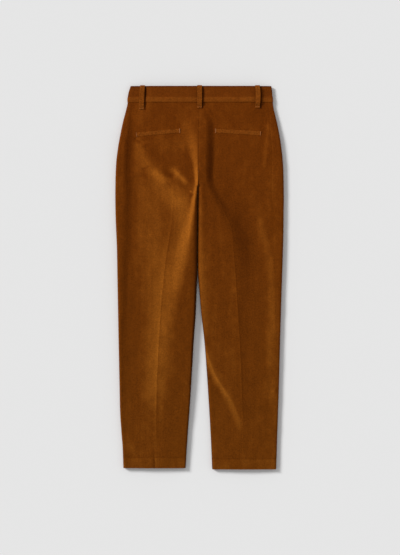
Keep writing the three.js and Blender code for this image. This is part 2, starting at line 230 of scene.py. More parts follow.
# How far in from the outer edge the side seams lie, on the upper side
SIDE_SEAM = Table(
    ("inset",),
    (
        (0, 13), (42, 13), (70, 15), (110, 21.5), (200, 29), (280, 32.5), (370, 28), (450, 22.5),
        (520, 17.5), (600, 14), (720, 9), (997, 6),
    ),
)

# Level of the upper side between its folds
LEVEL = Table(
    ("height",),
    (
        (0, 13), (45, 13), (130, 12.6), (300, 12.2), (600, 12), (900, 11.6), (997, 12),
    ),
)

# Fold beside the centre back seam: foot of its left slope, how late that rises, and its steep right edge
SEAT_FOLD = Table(
    ("foot", "sweep", "x", "height", "width"),
    (
        (42, -60, 1, 14, 0, 16), (66, -60, 1, 17, 1, 16), (100, -56, 1.1, 26, 4, 23),
        (150, -40, 1.5, 27.5, 6.2, 26), (200, -27, 2.4, 26, 7.4, 25),
        (232, -20, 2.8, 25.5, 7.8, 22), (250, -17, 2.8, 28, 5.6, 23), (270, -14, 2, 35, 4.2, 26),
        (309, -13, 1.5, 57, 3.6, 31), (361, -12, 1.5, 88, 3.1, 46), (426, -12, 1.5, 108, 2.6, 46),
        (504, -12, 1.5, 118, 1.4, 50), (580, -12, 1.5, 122, 0, 50),
    ),
)

# Ridge of the left thigh beside the crotch, widening down the leg
THIGH_RIDGE = Table(
    ("x", "height", "left", "right"),
    (
        (232, -6, 0, 5, 6), (268, -8, 3.6, 6, 6), (310, -12.5, 5.8, 8, 9), (361, -18, 7.2, 14, 14),
        (426, -25, 7.8, 26, 22), (504, -34, 7.8, 40, 36), (582, -50, 7.6, 52, 72),
        (700, -66, 7.2, 58, 110), (760, -73, 6, 56, 120), (820, -80, 4.4, 54, 120),
        (880, -88, 2.6, 50, 110), (940, -92, 1.4, 50, 100), (997, -95, 0.4, 50, 100),
    ),
)

# Pressed creases down the middle of each back leg
CREASE = Table(
    ("left", "right", "height", "lift"),
    (
        (245, -66, 25, 0, 0), (282, -68, 39.5, 0.2, 0.2), (309, -70, 56, 0.3, 0.4),
        (345, -72, 71.5, 0.35, 0.6), (368, -75, 82, 0.4, 0.8), (450, -88, 89.5, 0.5, 1.2),
        (555, -99, 97, 0.6, 1.4), (660, -106, 103.5, 0.65, 1.2), (765, -111, 108.5, 0.7, 1.2),
        (850, -113, 111, 0.5, 1.2), (930, -113, 112, 0.1, 1.4), (997, -112, 112, 0, 2),
    ),
)

# Line that each back panel's columns keep to, so that the creases and the seat fold's edge stay crisp
GUIDE = Table(
    ("left", "right"),
    (
        (0, -58, 27), (165, -62, 27), (235, -66, 26), (245, -66, 27), (282, -68, 40),
        (309, -70, 56), (345, -72, 71.5), (368, -75, 82), (450, -88, 89.5), (555, -99, 97),
        (660, -106, 103.5), (765, -111, 108.5), (870, -113, 111.5), (994, -112, 112),
    ),
)

# Grain: the line that each leg's wales run along
GRAIN = Table(
    ("left", "right"),
    (
        (0, -50, 44), (200, -60, 54), (350, -75, 74), (450, -87, 88), (555, -99, 97.5),
        (660, -106, 103.5), (765, -111, 108.5), (870, -113, 111.5), (994, -112, 112),
    ),
)

# How far in from the slit between the legs the cloth is still turning
INNER_ROLL = Table(
    ("left", "right"),
    (
        (0, 8, 12), (263, 8, 12), (310, 8, 12), (361, 9, 12), (426, 10, 11), (504, 8, 9),
        (582, 6, 7), (660, 5.5, 6), (997, 6, 6),
    ),
)

# Roll of cloth along each outer edge, as a step down to the side seam
EDGE_ROLL = Table(
    ("left", "right", "width"),
    (
        (0, 0, 0, 18), (50, 0.8, 0.4, 18), (105, 1.9, 1.2, 18), (150, 3.9, 1.2, 21),
        (230, 4.0, 0.5, 23), (320, 3.6, 0.4, 30), (420, 2.8, 0.8, 28), (520, 1.9, 0.9, 22),
        (700, 1.5, 0.8, 22), (850, 0.8, 0.5, 22), (997, 0.4, 0.3, 20),
    ),
)

# Other folds, from the waist down
FOLDS = {
    Side.LEFT: (
        # Drag folds that run from the pocket's outer end round to the crotch
        Fold(((150, -166, 0), (185, -146, 1.2), (222, -118, 2.0), (240, -98, 1.6)), 24, 12),
        Fold(((215, -90, 0), (229, -80, -1.2), (232, -74, -1.2), (226, -66, 0)), 10, 8),
        Fold(((222, -60, 0.6), (234, -54, 2.2), (244, -40, 2.4), (256, -22, 0.8)), 9, 12),
        Fold(((273, -27, 0), (275, -21, 1.4), (279, -14, 0)), 2.4, 2.8),
        # Gape under the outer end of the pocket
        Fold(((130, -170, 0), (139, -166, -1.4), (145, -152, -1.6), (143, -130, 0)), 4, 4),
        Fold(((152, -170, 0), (155, -150, 1.0), (151, -128, 0)), 6, 5),
        # Wide swell right of the crease, above the knee
        Fold(((400, -30, 0), (520, -52, 1.0), (640, -70, 0)), 16, 20),
        # Soft wrinkles near the hem and at the knee
        Fold(((890, -192, 0), (912, -183, 0.5), (938, -172, 0.6), (966, -158, 0)), 9, 10),
        Fold(((833, -104, 0), (836, -96, 0.7), (834, -78, 0)), 3, 3),
        Fold(((756, -44, 0), (772, -30, 1.0), (780, -26, 0)), 5, 5),
        Fold(((948, -124, 0), (968, -119, -0.4), (992, -118.5, -0.4)), 5, 5),
    ),
    Side.RIGHT: (
        # Hollow that runs straight down from the seat fold
        Fold(((236, 24, 0), (270, 18, -1.2), (320, 19, -1.1), (380, 20, -0.6), (450, 24, 0)), 10, 10),
        # Long hollow across the back of the thigh, and the ridge outside it
        Fold(((290, 118, 0), (330, 128, -1.4), (380, 136, -2.0), (440, 142, -1.2),
              (540, 150, 0)), 36, 24),
        Fold(((320, 150, 0), (361, 164, 0.6), (426, 181, 0.8), (480, 190, 0.7), (582, 192, 0.8),
              (700, 190, 0.7), (816, 190, 0.4), (900, 188, 0)), 13, 10),
        # Shallow folds that fan from the crotch
        Fold(((290, 34, 0), (330, 52, 0.9), (400, 62, 0.9), (480, 66, 0)), 14, 12),
        # Fold at the top, beside the middle loop
        Fold(((60, 16, 0), (66, 24, 0.6), (74, 29, 0.5), (84, 30, 0)), 5, 5),
        # Side of the hip
        Fold(((84, 182, 0), (105, 180, 0.9), (150, 177, 1.0), (192, 174, 0.9), (220, 172, 0)), 6, 9),
        # Kinks in the side
        Fold(((786, 204, 0), (792, 196, 1.2), (795, 184, 0)), 4, 4),
        Fold(((960, 150, 0), (968, 128, 0.8), (962, 108, 0)), 6, 6),
    ),
}

# Step that runs from the right leg's inner knee down to its crease
KNEE_FOLD = Table(
    ("x", "drop", "width"),
    (
        (640, 4, 0, 5), (684, 17, 1.2, 5), (715, 28, 2, 5.5), (742, 38, 2.4, 6), (780, 60, 2.5, 7),
        (816, 84, 2.1, 8), (860, 103, 1.4, 9), (900, 112, 0.6, 10), (945, 115, 0, 12),
    ),
)

# Cosine of the angle that the step leans at
KNEE_FOLD_LEAN = 0.87

# Painted light and shade, with the brushed pile's tone: where the cloth is lighter or darker than its slope
# alone makes it
PAINTED_LIGHT_AND_NAP = {
    Side.LEFT: (
        # Shade beside the loop
        Fold(((2, -140.8, -3.4), (30, -141.8, -3.6), (61, -143.2, -3.2)), 1.2, 1.7),
        # Patches of the seat
        Fold(((152, -160, 0.45), (185, -143, 0.7), (205, -130, 0.8), (222, -116, 0.9)), 18, 13),
        Fold(((226, -114, 1.0), (236, -102, 1.4), (243, -92, 1.1)), 10, 10),
        Fold(((216, -74, 0.6), (222, -64, 1.1), (238, -48, 1.25), (250, -36, 0.9)), 6, 8),
        Fold(((231, -77, -0.8), (233, -73, -0.8)), 6, 6),
        Fold(((232, -144, -0.35), (236, -140, -0.35)), 8, 8),
        Fold(((217, -148, -0.5), (210, -134, -0.6), (207, -122, 0)), 3, 3),
        Fold(((228, -118, 0.3), (236, -110, 0.6), (240, -98, 0.4)), 3, 4),
        Fold(((221, -66, 0.3), (232, -56, 0.7), (243, -44, 0.6), (250, -36, 0)), 2.5, 3),
        # Painted highlight on the short fold at the crotch, and painted shade below it
        Fold(((272, -26, 0), (275, -19, 0.9), (279, -13.5, 0.9)), 1.8, 2),
        Fold(((284, -29, 0), (283, -18, -0.9), (282, -13, -0.6)), 4, 3),
        # Lighter below the welt, and a painted highlight beside the centre back seam
        Fold(((150, -110, 0.25), (158, -80, 0.3), (150, -40, 0.3)), 22, 22),
        Fold(((205, -9, 0), (222, -8, 0.8), (246, -7.5, 1.2)), 3.5, 2.5),
        # The whole seat below the fold, and the thigh down to the knee
        Fold(((262, -130, 0.45), (330, -125, 0.5), (420, -122, 0.5), (520, -124, 0.2)), 30, 34),
        Fold(((256, -92, 0.8), (276, -80, 1.0), (298, -66, 1.2), (320, -50, 1.0), (360, -44, 0.9),
              (420, -48, 0.8), (490, -56, 0.5), (560, -66, 0)), 24, 22),
        Fold(((430, -96, 0.3), (500, -100, 0.6), (600, -106, 0.7), (700, -110, 0.6), (780, -114, 0.45),
              (860, -116, 0)), 27, 30),
        # Line that the light catches on the ridge beside the crotch, and its inner side
        Fold(((244, -6.5, 0.8), (270, -11.5, 1.3), (296, -17, 1.4), (335, -23, 1.4), (377, -28, 1.1),
              (415, -31, 0)), 2.2, 2.2),
        Fold(((285, -9.5, 0.4), (330, -11, 0.5), (380, -14, 0.6), (430, -17, 0.5), (500, -24, 0.3),
              (600, -34, 0.2)), 8, 6),
        Fold(((276, -50, 0.5), (300, -42, 0.9), (332, -38, 0.4)), 20, 14),
        # Dark strip along the outside, and the hem with its notch
        Fold(((500, -190, -0.3), (560, -178, -0.45), (700, -178, -0.45), (780, -176, -0.4),
              (850, -164, -0.4), (920, -158, -0.2)), 20, 26),
        Fold(((930, -150, 0), (997, -150, -0.3)), 34, 30),
        Fold(((940, -122, 0), (966, -119, -0.7), (974, -118.4, -1.7), (984, -118, -1.2),
              (997, -117.5, -1.5)), 1.8, 1.5),
    ),
    Side.RIGHT: (
        # Shade beside the loops
        Fold(((2, 7.8, -3.2), (30, 7.6, -3.4), (57, 7.2, -3.0)), 1.2, 1.7),
        Fold(((2, 157.8, -3.4), (30, 159.2, -3.6), (57, 158.4, -3.2)), 1.2, 1.7),
        # Dark strip from the seat down the thigh
        Fold(((230, 70, -0.2), (262, 66, -0.3), (300, 72, -0.6), (350, 100, -0.6), (430, 116, -0.6),
              (520, 120, -0.2)), 22, 30),
        # Foot of the fold beside the centre back
        Fold(((90, 27, 0), (120, 28, -0.35), (180, 28.5, -0.45), (236, 28, -0.3), (256, 33, 0)), 6, 7),
        # Between the crotch and the crease
        Fold(((255, 20, -0.5), (300, 25, -0.8), (350, 32, -0.7), (400, 38, -0.4), (450, 44, -0.3),
              (520, 50, -0.45), (620, 60, -0.3), (740, 76, 0)), 12, 18),
        # Outside of the crease, and the light strip along the side
        Fold(((520, 104, -0.2), (582, 106, -0.5), (650, 108, -0.35), (760, 112, -0.3), (820, 112, -0.45),
              (880, 116, 0)), 14, 26),
        Fold(((320, 150, 0), (361, 164, 0.35), (426, 180, 0.3), (560, 193, 0.3), (634, 189, 0.4),
              (686, 186, 0.35), (820, 188, 0.2)), 12, 11),
        # Upper side of the knee's step, and its inner end
        Fold(((676, 12, 0.3), (715, 22, 0.5), (742, 34, 0.35), (790, 60, 0.3), (830, 84, 0.3),
              (880, 104, 0.1)), 12, 8),
        Fold(((757, 21, -1.6), (761, 27, -1.0), (765, 34, 0)), 1.6, 1.6),
        # Inner edge of the leg, and its foot
        Fold(((250, 4, 0.2), (330, 3, 0.4), (480, 3, 0.8), (560, 8, 0.6), (640, 16, 0.3)), 6, 10),
        Fold(((870, 80, -0.1), (930, 80, -0.3), (997, 84, -0.35)), 36, 36),
    ),
}

# How far in from the slit between the legs the cloth is given its painted shade
SLIT_SHADE = Table(
    ("left", "right"),
    (
        (0, 1.6, 1.6), (263, 1.8, 2), (275, 2.6, 2.6), (330, 2.6, 2.2), (426, 3, 1.4),
        (520, 4.5, 1.2), (680, 4.5, 1), (790, 2, 1), (997, 1, 1),
    ),
)

# Ends of each back pocket's welt: places across, and distances down
WELT_ENDS = {
    Side.LEFT: ((-50.6, 116.2), (-165.8, 126.8)),
    Side.RIGHT: ((39.7, 116.6), (159.3, 123.5)),
}


@dataclass(frozen=True)
class LaidBody:
    """Outer face of the trousers as they lie: flat underneath, rounded at the edges, and folded on top.

    Spans are pairs of places between which something grows or fades.

    Attributes:
        roll: How far in from the outline the cloth is still turning.
        loop_lift: How far the front loops and button hold the waist up.
        lift_span: Where down the body the waist comes down to the floor.
        left_shorter: How much higher the left leg ends.
        seat_seam_x: Place across that the seat fold's left slope rises to.
        seat_fold_tail: How far below the crotch the seat fold reaches on the left half.
        crease_sharpness: Width of a pressed crease's ridge.
        crease_span: Width of the gentle mound on each side of a crease.
        valley: Depth of the valley beside an edge's roll, as a share of the roll.
        droop: How far the waist's two ends droop.
        droop_down: Span down the body over which the droop fades.
        droop_in: Span in from the outline over which it fades.
        ditch: Depth of a sewn seam's ditch.
        side_ditch_width: Width of the side seam's ditch.
        centre_ditch_width: Width of the centre back seam's ditch.
        waves: Lengths of the faint waves in the cloth.
        wave_height: Their height, as a share of their length.
        pile_gain: How fast the painted light grows with the cloth's slope.
        pile_most: How much painted light or shade the slope alone can give.
        slit_shade: How dark the painted shade in the slit between the legs is.
        brush: Strength of the strokes of painted light and shade, which also hold the brushed pile's tone.
        hem_tone: How much lighter the turned hem is.
        hem_line: How dark the line along its top is.
    """

    roll: float = 5.5
    loop_lift: float = 3.1
    lift_span: tuple[float, float] = (62.0, 115.0)
    left_shorter: float = 3.1
    seat_seam_x: float = -4.2
    seat_fold_tail: float = 50.0
    crease_sharpness: float = 4.0
    crease_span: float = 78.0
    valley: float = 0.3
    droop: float = 4.0
    droop_down: tuple[float, float] = (40.0, 150.0)
    droop_in: tuple[float, float] = (4.0, 64.0)
    ditch: float = 0.12
    side_ditch_width: float = 1.8
    centre_ditch_width: float = 1.6
    waves: tuple[float, ...] = (19.0, 23.0, 29.0, 34.0, 43.0, 52.0, 61.0, 77.0)
    wave_height: float = 0.0022
    pile_gain: float = 2.0
    pile_most: float = 0.8
    slit_shade: float = 1.6
    brush: float = 0.55
    hem_tone: float = 0.12
    hem_line: float = 0.16

    def hem(self, side: Side) -> float:
        """Distance down to a leg's hem."""
        return LENGTH - (self.left_shorter if side is Side.LEFT else 0.0)

    def outer(self, side: Side, down: Array) -> Array:
        """Outer edge of a half."""
        return OUTER_EDGE.at(side.value, down)

    def inner(self, side: Side, down: Array) -> Array:
        """Centre back seam above the crotch, and inner edge of the leg below it.

        Args:
            side: Half of the body.
            down: Distances down.

        Returns:
            Places across.
        """
        seam = CROTCH_X * np.minimum(1.0, down / CROTCH_DOWN)
        edge = np.where(down < CROTCH_DOWN, seam, INNER_EDGE.at(side.value, down))
        return edge + side.sign * SEAM_GAP / 2

    def side_seam(self, side: Side, down: Array, off: float) -> Array:
        """Places across of a side seam, moved in from it by a distance."""
        return self.outer(side, down) - side.sign * (SIDE_SEAM.at("inset", down) + off)

    def inset(self, side: Side, x: Array, down: Array) -> Array:
        """Distance in from the outer edge."""
        return np.abs(self.outer(side, down) - x)

    def from_inner(self, side: Side, x: Array, down: Array) -> Array:
        """Distance from the slit between the legs, whose upper end is the crotch."""
        above = np.maximum(CROTCH_DOWN - down, 0.0)
        return np.hypot(x - self.inner(side, down), above)

    def lower(self, down: Array) -> Array:
        """Height of the underside."""
        return self.loop_lift * fade(down, *self.lift_span)

    def seat_fold(self, side: Side, x: Array, down: Array) -> Array:
        """Fold beside the centre back seam: it rises ever faster up to the seam, is level, then falls.

        Args:
            side: Half of the body.
            x: Places across.
            down: Distances down.

        Returns:
            Heights.
        """
        foot = SEAT_FOLD.at("foot", down)
        rise = grow(x, foot, self.seat_seam_x) ** SEAT_FOLD.at("sweep", down)
        edge, width = SEAT_FOLD.at("x", down), SEAT_FOLD.at("width", down)
        fall = fade(x, edge - width / 2, edge + width / 2)
        kept = fade(down, CROTCH_DOWN, CROTCH_DOWN + self.seat_fold_tail) if side is Side.LEFT else 1.0
        return SEAT_FOLD.at("height", down) * rise * fall * kept

    def thigh_ridge(self, side: Side, x: Array, down: Array) -> Array:
        """Ridge of the left thigh: a bell across it, narrower on its inner side.

        Args:
            side: Half of the body.
            x: Places across.
            down: Distances down.

        Returns:
            Heights.
        """
        if side is Side.RIGHT:
            return np.zeros(np.shape(x))
        offset = x - THIGH_RIDGE.at("x", down)
        width = np.where(offset < 0, THIGH_RIDGE.at("left", down), THIGH_RIDGE.at("right", down))
        return THIGH_RIDGE.at("height", down) * bell(offset / width)

    def knee_fold(self, side: Side, x: Array, down: Array) -> Array:
        """Step below the right knee: a one-sided hollow, measured square to its edge.

        Args:
            side: Half of the body.
            x: Places across.
            down: Distances down.

        Returns:
            Heights, at most 0.
        """
        if side is Side.LEFT:
            return np.zeros(np.shape(x))
        past = (KNEE_FOLD.at("x", down) - x) * KNEE_FOLD_LEAN
        return -KNEE_FOLD.at("drop", down) * trough(past / KNEE_FOLD.at("width", down))

    def crease(self, side: Side, x: Array, down: Array) -> Array:
        """Pressed crease: a sharp small ridge on a wide, gentle mound.

        Args:
            side: Half of the body.
            x: Places across.
            down: Distances down.

        Returns:
            Heights.
        """
        away = np.abs(x - CREASE.at(side.value, down))
        ridge = CREASE.at("height", down) * np.exp(-away / self.crease_sharpness)
        return ridge + CREASE.at("lift", down) * fade(away, 0.0, self.crease_span)

    def edge_roll(self, side: Side, x: Array, down: Array) -> Array:
        """Roll along the outer edge: a smooth step down at the side seam, a valley, and the seam's ditch.

        Args:
            side: Half of the body.
            x: Places across.
            down: Distances down.

        Returns:
            Heights.
        """
        inset = self.inset(side, x, down)
        past = inset - SIDE_SEAM.at("inset", down)
        roll, width = EDGE_ROLL.at(side.value, down), EDGE_ROLL.at("width", down)
        step = roll * fade(past, -width / 2, width / 2)
        valley = self.valley * roll * bell(past / (0.7 * width) - 1.0)
        drooping = self.droop * fade(down, *self.droop_down) * fade(inset, *self.droop_in)
        sewn = grow(down, *SIDE_DITCH_STARTS) * fade(down, *SIDE_DITCH_ENDS)
        return step - valley - drooping - self.ditch * bell(past / self.side_ditch_width) * sewn

    def centre_ditch(self, side: Side, x: Array, down: Array) -> Array:
        """Ditch of the centre back seam, which ends at the crotch."""
        away = (x - self.inner(side, down)) / self.centre_ditch_width
        return -self.ditch * bell(away) * fade(down, CENTRE_DITCH_FADES, CROTCH_DOWN)

    def ripple(self, x: Array, down: Array) -> Array:
        """Faint unevenness: a sum of sine waves of chosen lengths, each turned on by the golden angle.

        A slower wave shifts each one along, so that none of them repeats.

        Args:
            x: Places across.
            down: Distances down.

        Returns:
            Heights.
        """
        total = np.zeros(np.shape(x))
        for n, wave in enumerate(self.waves):
            turn = GOLDEN_ANGLE * n
            phase = (x * math.cos(turn) + down * math.sin(turn)) * 2 * math.pi / wave
            slow = np.sin(x / (2.2 * wave) + turn) * np.cos(down / (2.9 * wave) - turn)
            total += self.wave_height * wave * np.sin(phase + 3.0 * slow)
        return total

    def level(self, side: Side, x: Array, down: Array) -> Array:
        """Height of the upper side, before it turns down at the edges: its level plus every fold.

        Args:
            side: Half of the body.
            x: Places across.
            down: Distances down.

        Returns:
            Heights.
        """
        height = LEVEL.at("height", down) + self.ripple(x, down)
        for form in (self.edge_roll, self.seat_fold, self.thigh_ridge, self.knee_fold, self.crease):
            height = height + form(side, x, down)
        for fold in FOLDS[side]:
            height = height + fold.lift(x, down)
        return height + self.centre_ditch(side, x, down)

    def slope(self, side: Side, x: Array, down: Array, step: float) -> Array:
        """Slope of the upper side towards -X, measured over a step to each side."""
        return (self.level(side, x + step, down) - self.level(side, x - step, down)) / (2 * step)

    def height(self, side: Side, x: Array, down: Array, upper: Array) -> Array:
        """Height of the outer face, turned in at the edges.

        At the outer edge and at the slit the level is eased towards half the thickness, by a quarter of an
        ellipse.

        Args:
            side: Half of the body.
            x: Places across.
            down: Distances down.
            upper: Where the point is on the upper side.

        Returns:
            Heights.
        """
        full = rounded(self.inset(side, x, down), self.roll)
        full = full * rounded(self.from_inner(side, x, down), INNER_ROLL.at(side.value, down))
        level = np.where(upper, self.level(side, x, down), self.lower(down))
        middle = (self.lower(down) + LEVEL.at("height", down)) / 2
        return middle + (level - middle) * full

    def brushed(self, side: Side, x: Array, down: Array) -> Array:
        """How much lighter or darker the strokes of painted light and shade, with the brushed pile's tone,
        make the cloth than its slope does.
        """
        return self.brush * sum(fold.lift(x, down) for fold in PAINTED_LIGHT_AND_NAP[side])

    def pile(self, side: Side, x: Array, down: Array) -> Array:
        """How light the pile looks.

        Its slope towards -X is squeezed by a tanh: painted light where the cloth faces the key light, and
        painted shade where it turns away.
        The strokes of painted light and shade, with the brushed pile's tone, are added, the slit's painted
        shade is taken away, and the turned hem is a little lighter, below a darker line.

        Args:
            side: Half of the body.
            x: Places across.
            down: Distances down.

        Returns:
            From about -1, dark, to 1, light.
        """
        painted_slope_light = self.pile_most * np.tanh(self.pile_gain * self.slope(side, x, down, 0.8))
        slit = bell(self.from_inner(side, x, down) / SLIT_SHADE.at(side.value, down))
        turning = down - self.hem(side) + HEM_DEPTH
        turned = self.hem_tone * grow(turning, 0.0, 3.0) - self.hem_line * bell(turning / 1.8)
        return painted_slope_light + self.brushed(side, x, down) - self.slit_shade * slit + turned

    def top_point(self, x: Array, down: Array, out: Array | float) -> Array:
        """Points above the upper side at given places, raised by `out`.

        Args:
            x: Places across.
            down: Distances down.
            out: How far above the cloth.

        Returns:
            Points, with X, Y and Z last.
        """
        upper = np.ones(np.shape(x), dtype=bool)
        left = self.height(Side.LEFT, x, down, upper)
        right = self.height(Side.RIGHT, x, down, upper)
        z = np.where(x < CROTCH_X * down / CROTCH_DOWN, left, right)
        return placed(x, down, z + out)


# Mesh making


def placed(x: Array, down: Array, z: Array) -> Array:
    """Points from places across, distances down and heights, with X, Y and Z last."""
    return np.stack([x, LENGTH / 2 - down, z], axis=-1)


def unit(vectors: Array) -> Array:
    """Vectors brought to a length of 1."""
    return vectors / np.maximum(np.linalg.norm(vectors, axis=-1, keepdims=True), 1e-9)


def normals_of(points: Array) -> Array:
    """Unit normals of a grid: the cross product of its differences along rows and along columns."""
    return unit(np.cross(np.gradient(points, axis=0), np.gradient(points, axis=1)))


def arc_lengths(points: Array) -> Array:
    """Distance run along each row of a grid, from its first column."""
    steps = np.linalg.norm(np.diff(points, axis=1), axis=-1)
    return np.concatenate([np.zeros((len(points), 1)), np.cumsum(steps, axis=1)], axis=1)


def quads(first: Array, second: Array, third: Array, fourth: Array) -> Array:
    """Four arrays of corners as rows of four."""
    return np.stack([first.ravel(), second.ravel(), third.ravel(), fourth.ravel()], axis=1)


def make_object(name: str, points: Array, faces: list[Array]) -> bpy.types.Object:
    """Put a mesh into the scene.

    Args:
        name: Name of the piece.
        points: Vertices in millimetres.
        faces: Arrays of faces, each with one number of corners.

    Returns:
        The object, at the origin.
    """
    mesh = bpy.data.meshes.new(name)
    mesh.from_pydata((points * MM).tolist(), [], [row for block in faces for row in block.tolist()])
    mesh.shade_smooth()
    mesh.set_sharp_from_angle(angle=SHARP_ANGLE)
    piece = bpy.data.objects.new(name, mesh)
    bpy.context.scene.collection.objects.link(piece)
    return piece


def paint(piece: bpy.types.Object, uv: Array, pile: Array) -> None:
    """Give a piece its grain coordinates and its pile attribute, which carries painted light and shade,
    both by vertex.

    Args:
        piece: The piece.
        uv: Metres across and along the wales.
        pile: How light the pile looks, mostly from painted light and shade.
    """
    mesh = piece.data
    corners = np.empty(len(mesh.loops), dtype=np.int32)
    mesh.loops.foreach_get("vertex_index", corners)
    layer = mesh.uv_layers.new(name="grain")
    layer.data.foreach_set("uv", (uv[corners] * MM).astype(np.float32).ravel())
    attribute = mesh.attributes.new("pile", "FLOAT", "POINT")
    attribute.data.foreach_set("value", pile.astype(np.float32))


def cloth_wall(name: str, outer: Array, thickness: Array | float, uv: Array, pile: Array, flip: bool,
               soften: float) -> bpy.types.Object:
    """A closed wall of cloth: its outer grid, the same moved in along its normals, and a rim.

    Args:
        name: Name of the piece.
        outer: Grid of points on the outer face.
        thickness: Thickness of the cloth, the same all over or for each row.
        uv: Grid of grain coordinates.
        pile: Grid of pile values, which carry painted light and shade.
        flip: Whether the grid runs the other way round.
        soften: Width of the rounding along the rim.

    Returns:
        The piece.
    """
    rows, columns = outer.shape[:2]
    normal = normals_of(outer) * (-1.0 if flip else 1.0)
    depth = np.broadcast_to(np.reshape(thickness, (-1, 1, 1)), (rows, 1, 1))
    inner = outer - normal * depth
    index = np.arange(rows * columns).reshape(rows, columns)
    back = index + rows * columns
    faces = [
        quads(index[:-1, :-1], index[1:, :-1], index[1:, 1:], index[:-1, 1:]),
        quads(back[:-1, :-1], back[:-1, 1:], back[1:, 1:], back[1:, :-1]),
        quads(index[:-1, 0], back[:-1, 0], back[1:, 0], index[1:, 0]),
        quads(index[:-1, -1], index[1:, -1], back[1:, -1], back[:-1, -1]),
        quads(index[0, :-1], index[0, 1:], back[0, 1:], back[0, :-1]),
        quads(index[-1, :-1], back[-1, :-1], back[-1, 1:], index[-1, 1:]),
    ]
    if flip:
        faces = [block[:, ::-1] for block in faces]
    piece = make_object(name, np.concatenate([outer.reshape(-1, 3), inner.reshape(-1, 3)]), faces)
    paint(piece, np.tile(uv.reshape(-1, 2), (2, 1)), np.tile(pile.ravel(), 2))
    bevel = piece.modifiers.new("turned edge", "BEVEL")
    bevel.width = soften * MM
    bevel.segments = 2
    bevel.limit_method = "ANGLE"
    bevel.angle_limit = BEVEL_ANGLE
    return piece


def swept_strip(name: str, centre: Array, across: Array, up: Array, section: Array, pile: float,
                turn_grain: bool = False) -> bpy.types.Object:
    """A folded strip: a closed section carried along a path, with its ends closed.

    Each point is the path's point, plus the section's first value across, plus its second value up. The
    faces point outwards where the cross product of across and up runs back along the path.

    Args:
        name: Name of the piece.
        centre: Points of the path.
        across: Unit vector across the strip at each point.
        up: Unit vector out of the cloth at each point.
        section: Points of the closed section.
        pile: How light the pile looks.
        turn_grain: Whether the wales run across the strip.

    Returns:
        The piece.
    """
    count = len(section)
    points = (
        centre[:, None, :]
        + across[:, None, :] * section[None, :, 0:1]
        + up[:, None, :] * section[None, :, 1:2]
    )
    index = np.arange(len(centre) * count).reshape(len(centre), count)
    following = np.roll(index, -1, axis=1)
    faces = [
        quads(index[:-1], index[1:], following[1:], following[:-1]),
        index[:1, :],
        index[-1:, ::-1],
    ]
    piece = make_object(name, points.reshape(-1, 3), faces)
    run = np.concatenate([[0.0], np.cumsum(np.linalg.norm(np.diff(centre, axis=0), axis=1))])
    uv = np.stack(np.broadcast_arrays(section[None, :, 0], run[:, None]), axis=-1).reshape(-1, 2)
    if turn_grain:
        uv = uv[:, ::-1]
    paint(piece, uv, np.full(len(uv), pile))
    return piece


def strip_section(width: float, thickness: float, points: int = 28, power: float = 4.0) -> Array:
    """Section of a folded strip: a superellipse that stands on the cloth.

    Args:
        width: Full width.
        thickness: Full thickness.
        points: How many points it has.
        power: How square it is.

    Returns:
        Points, each across and out, anticlockwise.
    """
    angle = np.linspace(0, 2 * np.pi, points, endpoint=False)
    across = np.sign(np.cos(angle)) * np.abs(np.cos(angle)) ** (2 / power) * width / 2
    out = np.sign(np.sin(angle)) * np.abs(np.sin(angle)) ** (2 / power) * thickness / 2
    return np.stack([across, out + thickness / 2], axis=1)


def columns_between(lines: tuple[Array, ...], counts: tuple[int, ...]) -> Array:
    """Places across of a grid's columns, which are closest together at the lines that they run between.

    Args:
        lines: Places across of each line, one for each row.
        counts: How many steps there are from each line to the next.

    Returns:
        Grid of places across.
    """
    found = [lines[0]]
    for start, end, count in zip(lines, lines[1:], counts):
        found.append(start + (end - start) * clustered(count)[None, 1:])
    return np.concatenate(found, axis=1)


# Materials


@dataclass(frozen=True)
class Socket:
    """A shader value that Python's operators add Math nodes to.

    Attributes:
        desk: The desk that makes the nodes.
        link: The output socket.
    """

    desk: "NodeDesk"
    link: bpy.types.NodeSocket

    def _maths(self, operation: str, *values: Any) -> "Socket":
        """Add a Math node of the given operation."""
        return self.desk.add("ShaderNodeMath", {"operation": operation}, *values)

    def __add__(self, other: Any) -> "Socket":
        """Sum."""
        return self._maths("ADD", self, other)

    def __radd__(self, other: Any) -> "Socket":
        """Sum with the number first."""
        return self._maths("ADD", other, self)

    def __sub__(self, other: Any) -> "Socket":
        """Difference."""
        return self._maths("SUBTRACT", self, other)

    def __rsub__(self, other: Any) -> "Socket":
        """Difference from a number."""
        return self._maths("SUBTRACT", other, self)

    def __mul__(self, other: Any) -> "Socket":
        """Product."""
        return self._maths("MULTIPLY", self, other)

    def __pow__(self, other: Any) -> "Socket":
        """Power."""
        return self._maths("POWER", self, other)

    def sine(self) -> "Socket":
        """Sine, in radians."""
        return self._maths("SINE", self)

    def held(self, low: float, high: float) -> "Socket":
        """Held between two limits."""
        return self._maths("MINIMUM", self._maths("MAXIMUM", self, low), high)


